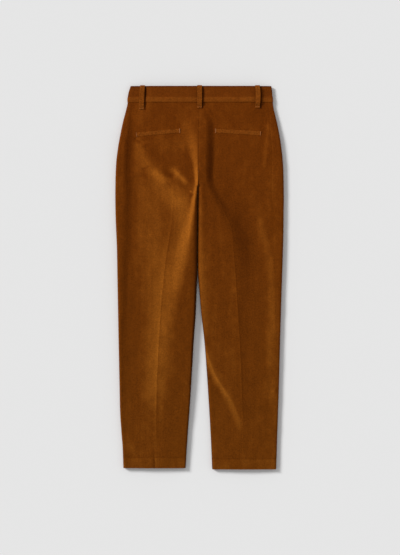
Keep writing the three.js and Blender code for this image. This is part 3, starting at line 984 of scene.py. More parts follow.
@dataclass
class NodeDesk:
    """Makes one material and its nodes.

    Attributes:
        name: Name of the material.
    """

    name: str

    def __post_init__(self) -> None:
        """Make the material, with no nodes yet."""
        self.material = bpy.data.materials.new(self.name)
        self.material.use_nodes = True
        self.material.node_tree.nodes.clear()

    def add(self, kind: str, settings: dict[str, Any], *values: Any, output: int | str = 0,
            **named: Any) -> Socket | None:
        """Add a node: its settings first, then its sockets' values or links.

        Args:
            kind: The node's type.
            settings: Its properties.
            values: For the sockets in order, where None leaves one alone.
            output: Which output to return.
            named: For sockets by name, with underscores for spaces.

        Returns:
            The output, wrapped, or None where the node has no output.
        """
        tree = self.material.node_tree
        node = tree.nodes.new(kind)
        for key, value in settings.items():
            setattr(node, key, value)
        pairs = list(enumerate(values)) + [(key.replace("_", " "), value) for key, value in named.items()]
        for key, value in pairs:
            if isinstance(value, Socket):
                tree.links.new(value.link, node.inputs[key])
            elif value is not None:
                node.inputs[key].default_value = value
        return Socket(self, node.outputs[output]) if node.outputs else None

    def place(self) -> Socket:
        """Place on the trousers, in metres."""
        return self.add("ShaderNodeTexCoord", {}, output="Object")

    def noise(self, place: Socket, scale: float, detail: float, roughness: float = 0.5) -> Socket:
        """Noise from 0 to 1."""
        named = {"Scale": scale, "Detail": detail, "Roughness": roughness}
        return self.add("ShaderNodeTexNoise", {}, Vector=place, **named)

    def blend(self, factor: Any, first: Any, second: Any, mode: str = "MIX") -> Socket:
        """Mix two colours."""
        settings = {"data_type": "RGBA", "blend_type": mode}
        return self.add("ShaderNodeMix", settings, factor, *[None] * 5, first, second, output=2)

    def surface(self, colour: Any, **named: Any) -> bpy.types.Material:
        """End the material with its Principled shader.

        Args:
            colour: Its base colour.
            named: The shader's other sockets by name, with underscores for spaces.

        Returns:
            The material.
        """
        shader = self.add("ShaderNodeBsdfPrincipled", {}, Base_Color=colour, **named)
        self.add("ShaderNodeOutputMaterial", {}, shader)
        return self.material


@dataclass(frozen=True)
class Corduroy:
    """Fine-wale cotton corduroy with a brushed pile.

    Each noise is its scale, its detail and its roughness.

    Attributes:
        name: Name of the material.
        middle: Colour of the pile seen straight on.
        light: Colour of the painted highlight, where the cloth faces the light or a stroke lightens it.
        dark: Colour of the painted shade, where the cloth turns from the light or a stroke darkens it.
        nap: How uneven the pile is in its finest grain.
        pitch: Distance from wale to wale, in metres.
        relief: Depth of the wales in metres.
        warm: Tint of the cloth near the waist.
        olive: Tint of the cloth near the hems.
        sheen: Tint of the light that the fibres' tips scatter.
        blotches: Noise of broad blotches.
        mottle: Noise of small patches.
        flecks: Noise of the finest grain.
        wander: Noise that bends the wales.
        streaks: Noise of streaks along the wales.
        stretch: How often the streaks come across and along the wales.
    """

    name: str = "corduroy"
    middle: Colour = (0.142, 0.0335, 0.0026, 1.0)
    light: Colour = (0.315, 0.0945, 0.0105, 1.0)
    dark: Colour = (0.066, 0.0135, 0.0008, 1.0)
    nap: float = 0.95
    pitch: float = 0.0015
    relief: float = 0.00030
    warm: Colour = (1.0, 0.925, 0.72, 1.0)
    olive: Colour = (0.99, 1.085, 0.95, 1.0)
    sheen: Colour = (1.0, 0.42, 0.08, 1.0)
    blotches: tuple[float, float, float] = (28.0, 6.0, 0.68)
    mottle: tuple[float, float, float] = (230.0, 2.0, 0.6)
    flecks: tuple[float, float, float] = (430.0, 2.0, 0.7)
    wander: tuple[float, float, float] = (35.0, 1.0, 0.5)
    streaks: tuple[float, float, float] = (1.0, 2.0, 0.6)
    stretch: tuple[float, float, float] = (420.0, 15.0, 1.0)

    def build(self) -> bpy.types.Material:
        """Make the material.

        The colour goes from the painted shade to the middle to the painted highlight with the pile
        attribute, which carries painted light and shade, moved by broad blotches. It is then multiplied by
        streaks and fine grain, by a painted shade between the wales, which is a sine of the distance across
        them, and by a painted deep shade where cloth goes into a slit or lies beside a loop. A tint that
        goes from warm at the waist to olive at the hems is laid over it.

        Returns:
            The material.
        """
        desk = NodeDesk(self.name)
        place = desk.place()
        grain = desk.add("ShaderNodeUVMap", {"uv_map": "grain"})
        across = desk.add("ShaderNodeSeparateXYZ", {}, grain, output="X")
        down = desk.add("ShaderNodeSeparateXYZ", {}, place, output="Y")
        # The pile attribute carries painted light and shade from the cloth's slope and strokes, with the
        # brushed pile's tone
        pile = desk.add("ShaderNodeAttribute", {"attribute_name": "pile"}, output="Fac")
        drawn_out = desk.add("ShaderNodeVectorMath", {"operation": "MULTIPLY"}, grain, self.stretch)
        blotch = desk.noise(place, *self.blotches) - 0.5
        mottle = desk.noise(place, *self.mottle) - 0.5
        fleck = desk.noise(place, *self.flecks) - 0.5
        streak = desk.noise(drawn_out, *self.streaks) - 0.5
        wander = desk.noise(place, *self.wander) - 0.5

        wale = (across * (math.pi / self.pitch) + wander * 1.2).sine()
        ridge = (wale * wale) ** 0.6
        # lean picks the painted highlight or the painted shade colour by the pile attribute, moved by
        # blotches
        lean = pile + blotch * 0.6
        colour = desk.blend(lean.held(0.0, 1.0), self.middle, self.light)
        colour = desk.blend((lean * -1.0).held(0.0, 1.0), colour, self.dark)
        uneven = streak * 0.34 + fleck * self.nap + mottle * (self.nap * 0.7)
        # Painted deep shade where the pile attribute falls below -1, in the slit and beside the loops; the
        # valleys between the wales get a painted shade as well
        painted_deep_shade = (-1.0 - pile).held(0.0, 1.0)
        value = (1.0 + uneven) * (0.80 + ridge * 0.28) * (1.0 - painted_deep_shade * 0.85)
        colour = desk.blend(1.0, colour, value, mode="MULTIPLY")
        towards_hem = (0.5 - (down + blotch * 0.2) * 1.25).held(0.0, 1.0)
        tone = desk.blend(towards_hem, self.warm, self.olive)
        colour = desk.blend(1.0, colour, tone, mode="MULTIPLY")
        height = ridge + fleck * 0.9
        bump = desk.add("ShaderNodeBump", {}, Strength=0.9, Distance=self.relief, Height=height)
        return desk.surface(
            colour, Normal=bump, Roughness=0.88, Specular_IOR_Level=0.02,
            Sheen_Weight=0.16, Sheen_Roughness=0.42, Sheen_Tint=self.sheen,
        )


@dataclass(frozen=True)
class Mottled:
    """A plain finish of two tones, which a noise clouds.

    Attributes:
        name: Name of the material.
        first: Its one tone.
        second: Its other tone.
        scale: Scale of the noise.
        detail: Detail of the noise.
        distortion: How far the noise is drawn about.
        roughness: Roughness of the surface.
        sheen: Weight of its sheen.
    """

    name: str
    first: Colour
    second: Colour
    scale: float
    detail: float
    distortion: float
    roughness: float
    sheen: float

    def build(self) -> bpy.types.Material:
        """Make the material.

        Returns:
            The material.
        """
        desk = NodeDesk(self.name)
        cloud = desk.add(
            "ShaderNodeTexNoise", {},
            Vector=desk.place(), Scale=self.scale, Detail=self.detail, Distortion=self.distortion,
        )
        colour = desk.blend(cloud, self.first, self.second)
        return desk.surface(colour, Roughness=self.roughness, Sheen_Weight=self.sheen)


@dataclass(frozen=True)
class PaleFloor:
    """Matte pale paper.

    Attributes:
        name: Name of the material.
        colour: Its colour.
    """

    name: str = "pale floor"
    colour: Colour = (0.80, 0.80, 0.80, 1.0)

    def build(self) -> bpy.types.Material:
        """Make the material: plain and matte."""
        return NodeDesk(self.name).surface(self.colour, Roughness=1.0, Specular_IOR_Level=0.0)


BAND_CORDUROY = Corduroy(
    "waistband corduroy", (0.144, 0.0345, 0.0034, 1), (0.300, 0.092, 0.0120, 1), (0.066, 0.0135, 0.0008, 1)
)
TRIM_CORDUROY = Corduroy(
    "trim corduroy", (0.178, 0.0470, 0.0052, 1), (0.330, 0.108, 0.0160, 1), (0.075, 0.016, 0.0012, 1), 1.7
)
THREAD = Mottled(
    "thread", (0.282, 0.090, 0.0108, 1.0), (0.47, 0.150, 0.018, 1.0), 2200.0, 1.0, 0.0, 0.6, 0.2
)
RESIN = Mottled(
    "button resin", (0.042, 0.018, 0.007, 1.0), (0.110, 0.050, 0.020, 1.0), 160.0, 4.0, 1.5, 0.28, 0.0
)


@dataclass
class Wardrobe:
    """The finishes, each made once.

    Attributes:
        cloth: Corduroy of the panels.
        band: Corduroy of the waistband, a little lighter over its interlining.
        trim: Corduroy of the loops and welts, pressed hard.
        thread: Thread of the bar tacks and stitches.
        resin: Resin of the button.
        floor: The floor's paper.
    """

    cloth: bpy.types.Material = field(default_factory=Corduroy().build)
    band: bpy.types.Material = field(default_factory=BAND_CORDUROY.build)
    trim: bpy.types.Material = field(default_factory=TRIM_CORDUROY.build)
    thread: bpy.types.Material = field(default_factory=THREAD.build)
    resin: bpy.types.Material = field(default_factory=RESIN.build)
    floor: bpy.types.Material = field(default_factory=PaleFloor().build)


def finish_piece(piece: bpy.types.Object, material: bpy.types.Material, slot: str, *nodes: str) -> None:
    """Dress a piece, make it ride with the trousers, and hide the solids that it stands for.

    Args:
        piece: The piece.
        material: Its finish.
        slot: Not used.
        nodes: The solids that it replaces.
    """
    piece.data.materials.append(material)
    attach(piece, "root")
    if nodes:
        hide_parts(*nodes)
    LOG.info("%s: %d faces", piece.name, len(piece.data.polygons))


@dataclass
class Panels:
    """The four panels of the legs and seat.

    Attributes:
        body: Shape that they lie in.
        cloth: Thickness of the corduroy.
        hem_thickness: Thickness of the turned hem.
        hem_step: Over what length the hem's thickness begins.
        line_depth: Depth of the faint line along the top of the hem.
        line_width: Its width.
        rows_above: Rows from the waistband to the crotch.
        rows_below: Rows from the crotch to the hem.
        crowding: Angle whose sine crowds the upper rows towards the crotch.
        gathering: How far the lower rows are gathered at the crotch and at the hem.
        back_columns: Steps across a back from the side seam to the guide, and on to the inner edge.
        front_columns: Steps across a front underneath, and on the upper side.
        soften: Width of the rounding along the rims.
    """

    body: LaidBody
    cloth: float = 1.4
    hem_thickness: float = 2.8
    hem_step: float = 1.5
    line_depth: float = 0.18
    line_width: float = 1.4
    rows_above: int = 96
    rows_below: int = 210
    crowding: float = 1.35
    gathering: float = 0.13
    back_columns: tuple[int, int] = (52, 56)
    front_columns: tuple[int, int] = (60, 18)
    soften: float = 0.14

    def rows(self, side: Side) -> Array:
        """Distances down of a panel's rows, closer together at the crotch and at the hem.

        Args:
            side: Half of the body.

        Returns:
            The distances, as a column.
        """
        top, hem = BAND_DEPTH + SEAM_GAP, self.body.hem(side)
        crowded = np.sin(np.linspace(0, self.crowding, self.rows_above + 1)) / np.sin(self.crowding)
        t = np.linspace(0, 1, self.rows_below + 1)[1:]
        gathered = t - self.gathering * np.sin(2 * np.pi * t)
        above, below = top + (CROTCH_DOWN - top) * crowded, CROTCH_DOWN + (hem - CROTCH_DOWN) * gathered
        return np.concatenate([above, below])[:, None]

    def grain(self, side: Side, points: Array, x: Array, down: Array, under: int) -> Array:
        """Grain coordinates: the arc length across from the grain line, and the distance down.

        Args:
            side: Half of the body.
            points: Grid of points.
            x: Grid of places across.
            down: Grid of distances down.
            under: How many columns lie underneath.

        Returns:
            Grid of coordinates.
        """
        run = arc_lengths(points)
        line = GRAIN.at(side.value, down[:, :1])
        last = under - 1 if under else x.shape[1]
        nearest = np.argmin(np.abs(x[:, :last] - line), axis=1)
        rows = np.arange(len(x))
        leftover = (line[:, 0] - x[rows, nearest]) * np.sign(x[:, last - 1] - x[:, 0])
        zero = run[rows, nearest] + leftover
        return np.stack([run - zero[:, None], down], axis=-1)

    def wall(self, name: str, side: Side, x: Array, under: int) -> bpy.types.Object:
        """Build a panel: it is thicker at the turned hem, and its edge stands a little off at the inseam.

        Args:
            name: Name of the piece.
            side: Half of the body.
            x: Grid of places across.
            under: How many columns lie underneath, before it turns round the outer edge.

        Returns:
            The piece.
        """
        down = np.broadcast_to(self.rows(side), x.shape)
        upper = np.broadcast_to(np.arange(x.shape[1]) >= under, x.shape)
        turning = down - self.body.hem(side) + HEM_DEPTH
        line = self.line_depth * bell(turning / self.line_width)
        z = self.body.height(side, x, down, upper) - np.where(upper, line, 0.0)
        inseam, way = (0, -1.0) if under else (-1, 1.0)
        z[:, inseam] += way * SEAM_GAP * grow(down[:, 0], CROTCH_DOWN, CROTCH_DOWN + PARTING)
        points = placed(x, down, z)
        turned = grow(turning[:, 0], 0.0, self.hem_step)
        thickness = self.cloth + (self.hem_thickness - self.cloth) * turned
        uv = self.grain(side, points, x, down, under)
        pile = np.where(upper, self.body.pile(side, x, down), 0.0)
        return cloth_wall(name, points, thickness, uv, pile, side is Side.RIGHT, self.soften)

    def back(self, side: Side) -> bpy.types.Object:
        """Build a back panel, across from the side seam to the inner edge.

        Args:
            side: Half of the body.

        Returns:
            The piece.
        """
        down = self.rows(side)
        seam = self.body.side_seam(side, down, SEAM_GAP / 2)
        lines = (seam, GUIDE.at(side.value, down), self.body.inner(side, down))
        return self.wall(f"back_{side.value}", side, columns_between(lines, self.back_columns), 0)

    def front(self, side: Side) -> bpy.types.Object:
        """Build a front panel, which goes under the leg and round its outer fold to the side seam.

        Args:
            side: Half of the body.

        Returns:
            The piece.
        """
        down = self.rows(side)
        seam = self.body.side_seam(side, down, -SEAM_GAP / 2)
        lines = (self.body.inner(side, down), self.body.outer(side, down), seam)
        x = columns_between(lines, self.front_columns)
        return self.wall(f"front_{side.value}", side, x, self.front_columns[0] + 1)

    def build(self, wardrobe: Wardrobe) -> None:
        """Build and dress all four panels.

        Args:
            wardrobe: The finishes.
        """
        for side in Side:
            piece = self.back(side)
            finish_piece(piece, wardrobe.cloth, "corduroy", f"back_panel_{side.value}")
            piece = self.front(side)
            finish_piece(piece, wardrobe.cloth, "corduroy", f"front_panel_{side.value}")


@dataclass
class Waistband:
    """The waistband, in four pieces that meet at the centre back, the side seams and the front tab.

    Attributes:
        body: Shape that it lies in.
        proud: How far it stands out of the panels.
        thickness: Thickness of its folded cloth and interlining.
        tab: How far the right front reaches past the centre.
        rows: Steps down it.
        back_columns: Steps across a back piece.
        front_columns: Steps across a front piece underneath, and on the upper side.
        rounding: How far its edges fall back.
        fuller: How much fuller it is over the seam turnings.
        fuller_span: Where down the band that begins.
        edge_shade: How dark its top edge is.
        soften: Width of the rounding along the rims.
    """

    body: LaidBody
    proud: float = 0.9
    thickness: float = 2.9
    tab: float = 28.0
    rows: int = 26
    back_columns: tuple[int] = (110,)
    front_columns: tuple[int, int] = (60, 14)
    rounding: float = 0.9
    fuller: float = 0.6
    fuller_span: tuple[float, float] = (27.0, 31.5)
    edge_shade: float = 0.7
    soften: float = 0.4

    def down(self) -> Array:
        """Distances down of the rows, as a column."""
        return (BAND_DEPTH * clustered(self.rows))[:, None]

    def lift(self, down: Array) -> Array:
        """How far its face stands out: rounded in at both edges, and fuller over the seam turnings below.

        Args:
            down: Distances down.

        Returns:
            Heights above the panels.
        """
        top = self.rounding * (1 - rounded(down + 0.3, 3.0))
        low = self.rounding * (1 - rounded(BAND_DEPTH - down + 0.2, 6.0))
        fuller = self.fuller * grow(down, *self.fuller_span)
        return self.proud - top - low + fuller * (1 - 0.2 * bell(down - 38.5))

    def wall(self, name: str, side: Side, x: Array, under: int) -> bpy.types.Object:
        """Build one piece from its grid of places across.

        Args:
            name: Name of the piece.
            side: Half of the body.
            x: Grid of places across.
            under: How many columns lie underneath.

        Returns:
            The piece.
        """
        down = np.broadcast_to(self.down(), x.shape)
        upper = np.broadcast_to(np.arange(x.shape[1]) >= under, x.shape)
        points = placed(x, down, self.body.height(side, x, down, upper))
        wave = 0.18 * np.sin(x / 17.0 + down / 30.0) + 0.12 * np.sin(x / 7.3 - down / 21.0)
        stand = self.lift(down) + np.where(upper, wave, 0.0)
        points = points - side.sign * normals_of(points) * stand[..., None]
        uv = np.stack([down, arc_lengths(points)], axis=-1)
        # Painted highlight along the band's fuller lower part, painted shade along its top edge, and
        # painted light and shade from its slope
        painted_band_light_and_shade = 0.3 * grow(down, 27.5, 31.5) - self.edge_shade * bell(down / 2.2)
        painted_slope_light = 0.3 * np.tanh(2 * self.body.slope(side, x, down, 1.0))
        pile = np.where(upper, painted_band_light_and_shade + painted_slope_light + self.body.brushed(side, x, down), 0.0)
        return cloth_wall(name, points, self.thickness, uv, pile, side is Side.RIGHT, self.soften)

    def back(self, side: Side) -> bpy.types.Object:
        """Build a back piece, from the side seam to the centre back.

        Args:
            side: Half of the body.

        Returns:
            The piece.
        """
        seam = self.body.side_seam(side, self.down(), SEAM_GAP / 2)
        x = columns_between((seam, self.body.inner(side, self.down())), self.back_columns)
        return self.wall(f"waistband_rear_{side.value}", side, x, 0)

    def front(self, side: Side) -> bpy.types.Object:
        """Build a front piece, from the tab's edge round the outer fold to the side seam.

        Args:
            side: Half of the body.

        Returns:
            The piece.
        """
        down = self.down()
        seam = self.body.side_seam(side, down, -SEAM_GAP / 2)
        start = np.full(down.shape, -self.tab + side.sign * SEAM_GAP / 2)
        x = columns_between((start, self.body.outer(side, down), seam), self.front_columns)
        return self.wall(f"waistband_fore_{side.value}", side, x, self.front_columns[0] + 1)

    def build(self, wardrobe: Wardrobe) -> None:
        """Build and dress all four pieces.

        Args:
            wardrobe: The finishes.
        """
        for side in Side:
            piece = self.back(side)
            finish_piece(piece, wardrobe.band, "waistband_corduroy", f"waistband_back_{side.value}")
            piece = self.front(side)
            finish_piece(piece, wardrobe.band, "waistband_corduroy", f"waistband_front_{side.value}")


@dataclass(frozen=True)
class LoopPlace:
    """Where one back belt loop is sewn.

    Attributes:
        name: Which of the loops it is.
        top: Place across of its upper end.
        foot: Place across of its lower end.
        length: Length from the waistband's top edge to its foot.
        bulge: How far its middle bows sideways.
    """

    name: str
    top: float
    foot: float
    length: float
    bulge: float


@dataclass
class BeltLoops:
    """The five belt loops.

    Attributes:
        body: Shape that they are sewn to.
        width: Width of a loop.
        thickness: Thickness of its folded strip.
        gap: Room for the belt.
        overhang: How far a back loop's upper end reaches past the waistband's top edge.
        band_step: How far the waistband's face stands out under it.
        clear: How far it stands off what it is sewn to.
        rises: Length in which it rises to its arch.
        falls: Length in which it comes down again.
        sewn: Length of its foot that is sewn down.
        turn: How far its upper end is turned over.
        flat_length: Length of a front loop.
        flat_x: Place of each front loop, out from the middle.
        places: Where the back loops are sewn.
    """

    body: LaidBody
    width: float = 12.6
    thickness: float = 1.7
    gap: float = 3.2
    overhang: float = 0.5
    band_step: float = 1.25
    clear: float = 0.25
    rises: float = 9.0
    falls: float = 8.0
    sewn: float = 3.5
    turn: float = 2.6
    flat_length: float = 60.0
    flat_x: float = 96.0
    places: tuple[LoopPlace, ...] = (
        LoopPlace("left", -148.5, -151.3, 61.0, -0.6),
        LoopPlace("centre", -0.3, -0.3, 57.4, 0.3),
        LoopPlace("right", 150.0, 150.5, 56.9, 1.6),
    )

    def arched(self, place: LoopPlace) -> bpy.types.Object:
        """Build a loop: over the waistband's top edge, arched over its face, and sewn down below it.

        Args:
            place: Where it is sewn.

        Returns:
            The piece.
        """
        t = np.linspace(0.0, 1.0, 64)
        down = -self.overhang + (place.length + self.overhang) * t
        x = place.top + (place.foot - place.top) * t + place.bulge * np.sin(np.pi * t * 1.15)
        base = self.body.top_point(x, np.clip(down, 0.2, None), self.clear)
        band = self.band_step * fade(down, BAND_DEPTH + 1.5, BAND_DEPTH + 4.5)
        foot = place.length - self.sewn
        arch = grow(down, -self.overhang, self.rises - self.overhang) * fade(down, foot - self.falls, foot)
        base[:, 2] += band + self.gap * arch - self.turn * (1 - rounded(down + self.overhang, 2.4))
        base[:, 1] = LENGTH / 2 - down
        across = np.tile(TO_THE_LEFT, (len(t), 1))
        up = np.cross(across, unit(np.gradient(base, axis=0)))
        section = strip_section(self.width, self.thickness)
        return swept_strip(f"loop_{place.name}", base, across, up, section, 0.12)

    def flat(self, name: str, x: float) -> bpy.types.Object:
        """Build a front loop, pressed flat under the waist.

        Args:
            name: Name of the piece.
            x: Its place across.

        Returns:
            The piece.
        """
        down = np.linspace(1.0, 1.0 + self.flat_length, 24)
        centre = placed(np.full(24, x), down, np.full(24, 0.02))
        across, up = np.tile(TO_THE_LEFT, (24, 1)), np.tile(UPWARDS, (24, 1))
        return swept_strip(name, centre, across, up, strip_section(self.width, self.thickness), 0.1)

    def build(self, wardrobe: Wardrobe) -> None:
        """Build and dress the loops.

        Args:
            wardrobe: The finishes.
        """
        for place in self.places:
            finish_piece(self.arched(place), wardrobe.trim, "trim_corduroy", f"belt_loop_back_{place.name}")
        for side in Side:
            piece = self.flat(f"loop_front_{side.value}", side.sign * self.flat_x)
            finish_piece(piece, wardrobe.trim, "trim_corduroy", f"belt_loop_front_{side.value}")


@dataclass
class PocketWelts:
    """The two back pocket welts.

    Attributes:
        body: Shape that they are sewn to.
        depth: Width of its strip.
        thickness: Thickness of its folded cloth.
        clear: How far it stands off the panel.
    """

    body: LaidBody
    depth: float = 10.4
    thickness: float = 0.9
    clear: float = 0.1

    def centre_line(self, side: Side, t: Array) -> tuple[Array, Array]:
        """Middle of a welt from its inner end, at 0, to its outer one, at 1."""
        (inner_x, inner_down), (outer_x, outer_down) = WELT_ENDS[side]
        return inner_x + (outer_x - inner_x) * t, inner_down + (outer_down - inner_down) * t

    def strip(self, side: Side) -> bpy.types.Object:
        """Build a welt, whose middle line is a little wavy.

        Args:
            side: Half of the body.

        Returns:
            The piece.
        """
        x, down = self.centre_line(side, np.linspace(0.0, 1.0, 90))
        down = down + 0.22 * np.sin(x / 1.9) + 0.2 * np.sin(x / 3.7 + 1.0)
        centre = self.body.top_point(x, down, self.clear)
        across = unit(self.body.top_point(x, down - self.depth / 2, self.clear) - centre)
        up = np.cross(across, unit(np.gradient(centre, axis=0)))
        up = np.where(up[:, 2:3] < 0, -up, up)
        section = strip_section(self.depth, self.thickness, points=24, power=2.2)
        return swept_strip(f"welt_{side.value}", centre, -side.sign * across, up, section, 0.1, True)

    def build(self, wardrobe: Wardrobe) -> None:
        """Build and dress the welts."""
        for side in Side:
            finish_piece(self.strip(side), wardrobe.trim, "trim_corduroy", f"pocket_welt_{side.value}")


@dataclass
class Sewing:
    """Bar tacks and stitches: short rounded threads laid on the cloth.

    Attributes:
        body: Shape that they lie on.
        welts: Welts that the tacks close.
        loops: Loops that the stitches hold.
        radius: Radius of a thread.
        sides: Sides of each thread.
        rings: Rings along it.
        tack_height: Length of a bar tack.
        tack_pitch: Distance from thread to thread in it.
        tack_inset: How far in from the welt's end it is.
        tack_out: How far above the cloth it lies.
        inner_width: Length of the threads at a welt's inner end.
        outer_width: Length of them at its outer end.
        outer_lean: How far the outer tack leans in towards its foot.
        stitches: How many stitches cross a loop.
        stitch_reach: How far from the loop's middle the outermost one is.
        stitch_length: Length of a stitch.
    """

    body: LaidBody
    welts: PocketWelts
    loops: BeltLoops
    radius: float = 0.32
    sides: int = 6
    rings: int = 5
    tack_height: float = 10.6
    tack_pitch: float = 0.75
    tack_inset: float = 1.4
    tack_out: float = 1.15
    inner_width: float = 2.4
    outer_width: float = 1.3
    outer_lean: float = 1.5
    stitches: int = 9
    stitch_reach: float = 5.4
    stitch_length: float = 1.1

    def threads(self, name: str, pairs: list[tuple[Array, Array]]) -> bpy.types.Object:
        """Many short threads as one piece, each a tube that narrows at its ends and bows upwards.

        Args:
            name: Name of the piece.
            pairs: Arrays of the points where threads begin, each with the points where they end.

        Returns:
            The piece.
        """
        starts, ends = (np.concatenate(points) for points in zip(*pairs))
        t = np.linspace(0, 1, self.rings)[None, :, None]
        line = starts[:, None, :] * (1 - t) + ends[:, None, :] * t
        line[..., 2] += self.radius * 1.1 * np.sin(np.pi * t[..., 0])
        girth = self.radius * (0.35 + 0.65 * np.sin(np.pi * (0.12 + 0.76 * t[..., 0])))
        direction = unit(ends - starts)
        sideways = unit(np.cross(direction, UPWARDS))
        upwards = np.cross(sideways, direction)
        angle = np.linspace(0, 2 * np.pi, self.sides, endpoint=False)
        ring = (
            np.cos(angle)[None, None, :, None] * sideways[:, None, None, :]
            + np.sin(angle)[None, None, :, None] * upwards[:, None, None, :]
        )
        points = line[:, :, None, :] + ring * girth[:, :, None, None]
        index = np.arange(points.size // 3).reshape(points.shape[:3])
        following = np.roll(index, -1, axis=2)
        faces = [
            quads(index[:, :-1], index[:, 1:], following[:, 1:], following[:, :-1]),
            index[:, 0, :],
            index[:, -1, ::-1],
        ]
        return make_object(name, points.reshape(-1, 3), faces)

    def tack(self, x: float, down: float, width: float, lean: float) -> tuple[Array, Array]:
        """A bar tack: threads side by side across a short bar.

        Args:
            x: Place across of its middle.
            down: Distance down of its middle.
            width: Length of each thread.
            lean: Sideways lean from its top to its foot.

        Returns:
            Starts and ends of its threads.
        """
        t = np.linspace(-0.5, 0.5, int(self.tack_height / self.tack_pitch))
        middle_x, middle_down = x + lean * t, down + self.tack_height * t
        starts = self.body.top_point(middle_x - width / 2, middle_down, self.tack_out)
        ends = self.body.top_point(middle_x + width / 2, middle_down + 0.2, self.tack_out)
        return starts, ends

    def pocket_tacks(self) -> bpy.types.Object:
        """The four tacks at the welts' ends.

        Returns:
            The piece.
        """
        found = []
        for side in Side:
            x, down = self.welts.centre_line(side, np.array([0.0, 1.0]))
            inset = side.sign * self.tack_inset
            found.append(self.tack(x[0] + inset, down[0], self.inner_width, 0.0))
            found.append(self.tack(x[1] - inset, down[1], self.outer_width, -side.sign * self.outer_lean))
        return self.threads("pocket_tacks", found)

    def loop_stitches(self) -> bpy.types.Object:
        """A row of stitches across each loop's foot.

        Returns:
            The piece.
        """
        found = []
        out = self.loops.thickness + 0.35
        for place in self.loops.places:
            x = place.foot + np.linspace(-self.stitch_reach, self.stitch_reach, self.stitches)
            down = np.full(self.stitches, place.length - 2.6)
            starts = self.body.top_point(x - self.stitch_length / 2, down, out)
            found.append((starts, self.body.top_point(x + self.stitch_length / 2, down, out)))
        return self.threads("loop_stitches", found)

    def build(self, wardrobe: Wardrobe) -> None:
        """Build and dress the threads."""
        for piece in (self.pocket_tacks(), self.loop_stitches()):
            finish_piece(piece, wardrobe.thread, "trim_corduroy")


@dataclass
class Fly:
    """The shield behind the fly opening, and the waist button, both hidden as the trousers lie.

    Attributes:
        body: Shape that they lie in.
        centre_x: Middle of the shield.
        width: Width of the shield.
        length: Length of the shield.
        below_band: How far below the waistband it starts.
        inside: How far above the underside its face is.
        thickness: Its thickness.
        soften: Width of the rounding along its rim.
        button_x: Middle of the button.
        button_down: Its distance down.
        button_radius: Its radius.
        button_sides: How many sides it is turned with.
        profile: Its outline from the lower pole to the upper one: shares of the radius, and heights.
    """

    body: LaidBody
    centre_x: float = -8.0
    width: float = 44.0
    length: float = 172.0
    below_band: float = 0.6
    inside: float = 3.5
    thickness: float = 1.4
    soften: float = 0.2
    button_x: float = -14.0
    button_down: float = 21.0
    button_radius: float = 7.5
    button_sides: int = 40
    profile: tuple[tuple[float, float], ...] = (
        (0.0, 0.7), (0.55, 0.6), (0.78, 0.42), (0.86, 0.06), (0.94, 0.04), (1.0, 0.55), (1.0, 1.15),
        (0.93, 1.6), (0.6, 1.75), (0.0, 1.78),
    )

    def shield(self) -> bpy.types.Object:
        """Build the shield, which follows the inside of the fronts.

        Returns:
            The piece.
        """
        down = (BAND_DEPTH + self.below_band + self.length * np.linspace(0, 1, 60))[:, None]
        x = np.broadcast_to(self.centre_x + self.width * (clustered(16)[None, :] - 0.5), (60, 17))
        down = np.broadcast_to(down, x.shape)
        points = placed(x, down, self.body.lower(down) + self.inside)
        uv = np.stack([x, down], axis=-1)
        return cloth_wall("shield", points, self.thickness, uv, np.zeros(x.shape), False, self.soften)

    def button(self) -> bpy.types.Object:
        """Build the button: a profile turned round its axis, with a rim, a dished face and a rounded back.

        Returns:
            The piece.
        """
        radii, heights = np.array(self.profile).T
        angle = np.linspace(0, 2 * np.pi, self.button_sides, endpoint=False)[:, None]
        reach = self.button_radius * radii[None, 1:-1]
        x = self.button_x + reach * np.cos(angle)
        down = self.button_down - reach * np.sin(angle)
        turned = placed(x, down, np.broadcast_to(heights[None, 1:-1], x.shape)).reshape(-1, 3)
        ends = heights[[0, -1]]
        poles = placed(np.full(2, self.button_x), np.full(2, self.button_down), ends)
        index = np.arange(len(turned)).reshape(x.shape)
        following = np.roll(index, -1, axis=0)
        low = np.full(self.button_sides, len(turned))
        faces = [
            quads(index[:, :-1], following[:, :-1], following[:, 1:], index[:, 1:]),
            np.stack([low, following[:, 0], index[:, 0]], axis=1),
            np.stack([low + 1, index[:, -1], following[:, -1]], axis=1),
        ]
        return make_object("button", np.concatenate([turned, poles]), faces)

    def build(self, wardrobe: Wardrobe) -> None:
        """Build and dress the shield and the button.

        Args:
            wardrobe: The finishes.
        """
        piece = self.shield()
        finish_piece(piece, wardrobe.cloth, "corduroy", "fly_shield")
        finish_piece(self.button(), wardrobe.resin, "button", "waist_button")


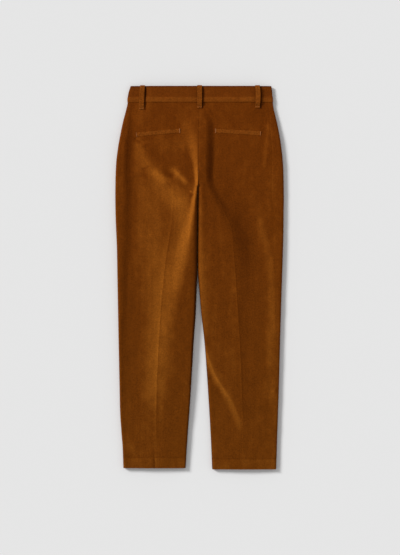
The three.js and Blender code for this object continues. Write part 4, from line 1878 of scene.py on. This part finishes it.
@dataclass
class Studio:
    """Floor, lights and the camera that looks straight down.

    Attributes:
        pixel: Size of a picture pixel on the trousers, in millimetres.
        picture: Width and height of the picture in pixels.
        middle: Picture point that the origin falls on.
        distance: Height of the camera, in metres.
        surface: Height that the picture's scale is true at, in metres.
        sensor: Height of the camera's sensor, in millimetres.
        key: Strength of the low light from the left.
        key_elevation: Its height above the floor, in degrees.
        key_turn: Direction that it comes from, in degrees anticlockwise from +X.
        key_spread: How wide it looks, in degrees.
        sky: Strength of the even light from all round.
        reach: How far the floor goes from its middle, in metres.
    """

    pixel: float = 2.6
    picture: tuple[int, int] = (400, 555)
    middle: tuple[float, float] = (199.75, 277.65)
    distance: float = 3.6
    surface: float = 0.010
    sensor: float = 36.0
    key: float = 2.935
    key_elevation: float = 32.0
    key_turn: float = 147.0
    key_spread: float = 17.0
    sky: float = 0.49
    reach: float = 25.0

    def floor(self, wardrobe: Wardrobe) -> None:
        """Lay the floor.

        Args:
            wardrobe: The finishes.
        """
        corners = np.array([[-1, -1, 0], [1, -1, 0], [1, 1, 0], [-1, 1, 0]]) * self.reach / MM
        floor = make_object("floor", corners, [np.array([[0, 1, 2, 3]])])
        floor.data.materials.append(wardrobe.floor)

    def lights(self) -> None:
        """Set the low light and the even one."""
        light = bpy.data.lights.new("key", "SUN")
        light.energy = self.key
        light.angle = math.radians(self.key_spread)
        lamp = bpy.data.objects.new("key", light)
        lamp.rotation_euler = (0.0, math.radians(90 - self.key_elevation), math.radians(self.key_turn))
        bpy.context.scene.collection.objects.link(lamp)
        world = bpy.data.worlds.new("studio")
        world.use_nodes = True
        background = world.node_tree.nodes["Background"]
        background.inputs[0].default_value = (1.0, 1.0, 1.0, 1.0)
        background.inputs[1].default_value = self.sky
        bpy.context.scene.world = world
        bpy.context.scene.view_settings.view_transform = "Standard"

    def camera(self) -> None:
        """Aim the camera, with a lens that gives the picture's scale."""
        lens = bpy.data.cameras.new("overhead")
        lens.sensor_fit = "VERTICAL"
        lens.sensor_height = self.sensor
        shown = self.picture[1] * self.pixel * MM
        lens.lens = self.sensor * (self.distance - self.surface) / shown
        camera = bpy.data.objects.new("overhead", lens)
        x = (self.picture[0] / 2 - self.middle[0]) * self.pixel * MM
        y = (self.middle[1] - self.picture[1] / 2) * self.pixel * MM
        camera.location = (x, y, self.distance)
        bpy.context.scene.collection.objects.link(camera)
        bpy.context.scene.camera = camera

    def build(self, wardrobe: Wardrobe) -> None:
        """Lay the floor, set the lights, and aim the camera.

        Args:
            wardrobe: The finishes.
        """
        self.floor(wardrobe)
        self.lights()
        self.camera()


def main() -> None:
    """Build every piece in order."""
    logging.basicConfig(level=logging.INFO, format="%(message)s")
    wardrobe = Wardrobe()
    body = LaidBody()
    loops, welts = BeltLoops(body), PocketWelts(body)
    stages = (Studio(), Panels(body), Waistband(body), loops, welts, Sewing(body, welts, loops), Fly(body))
    for stage in stages:
        stage.build(wardrobe)


if __name__ == "__main__":
    main()
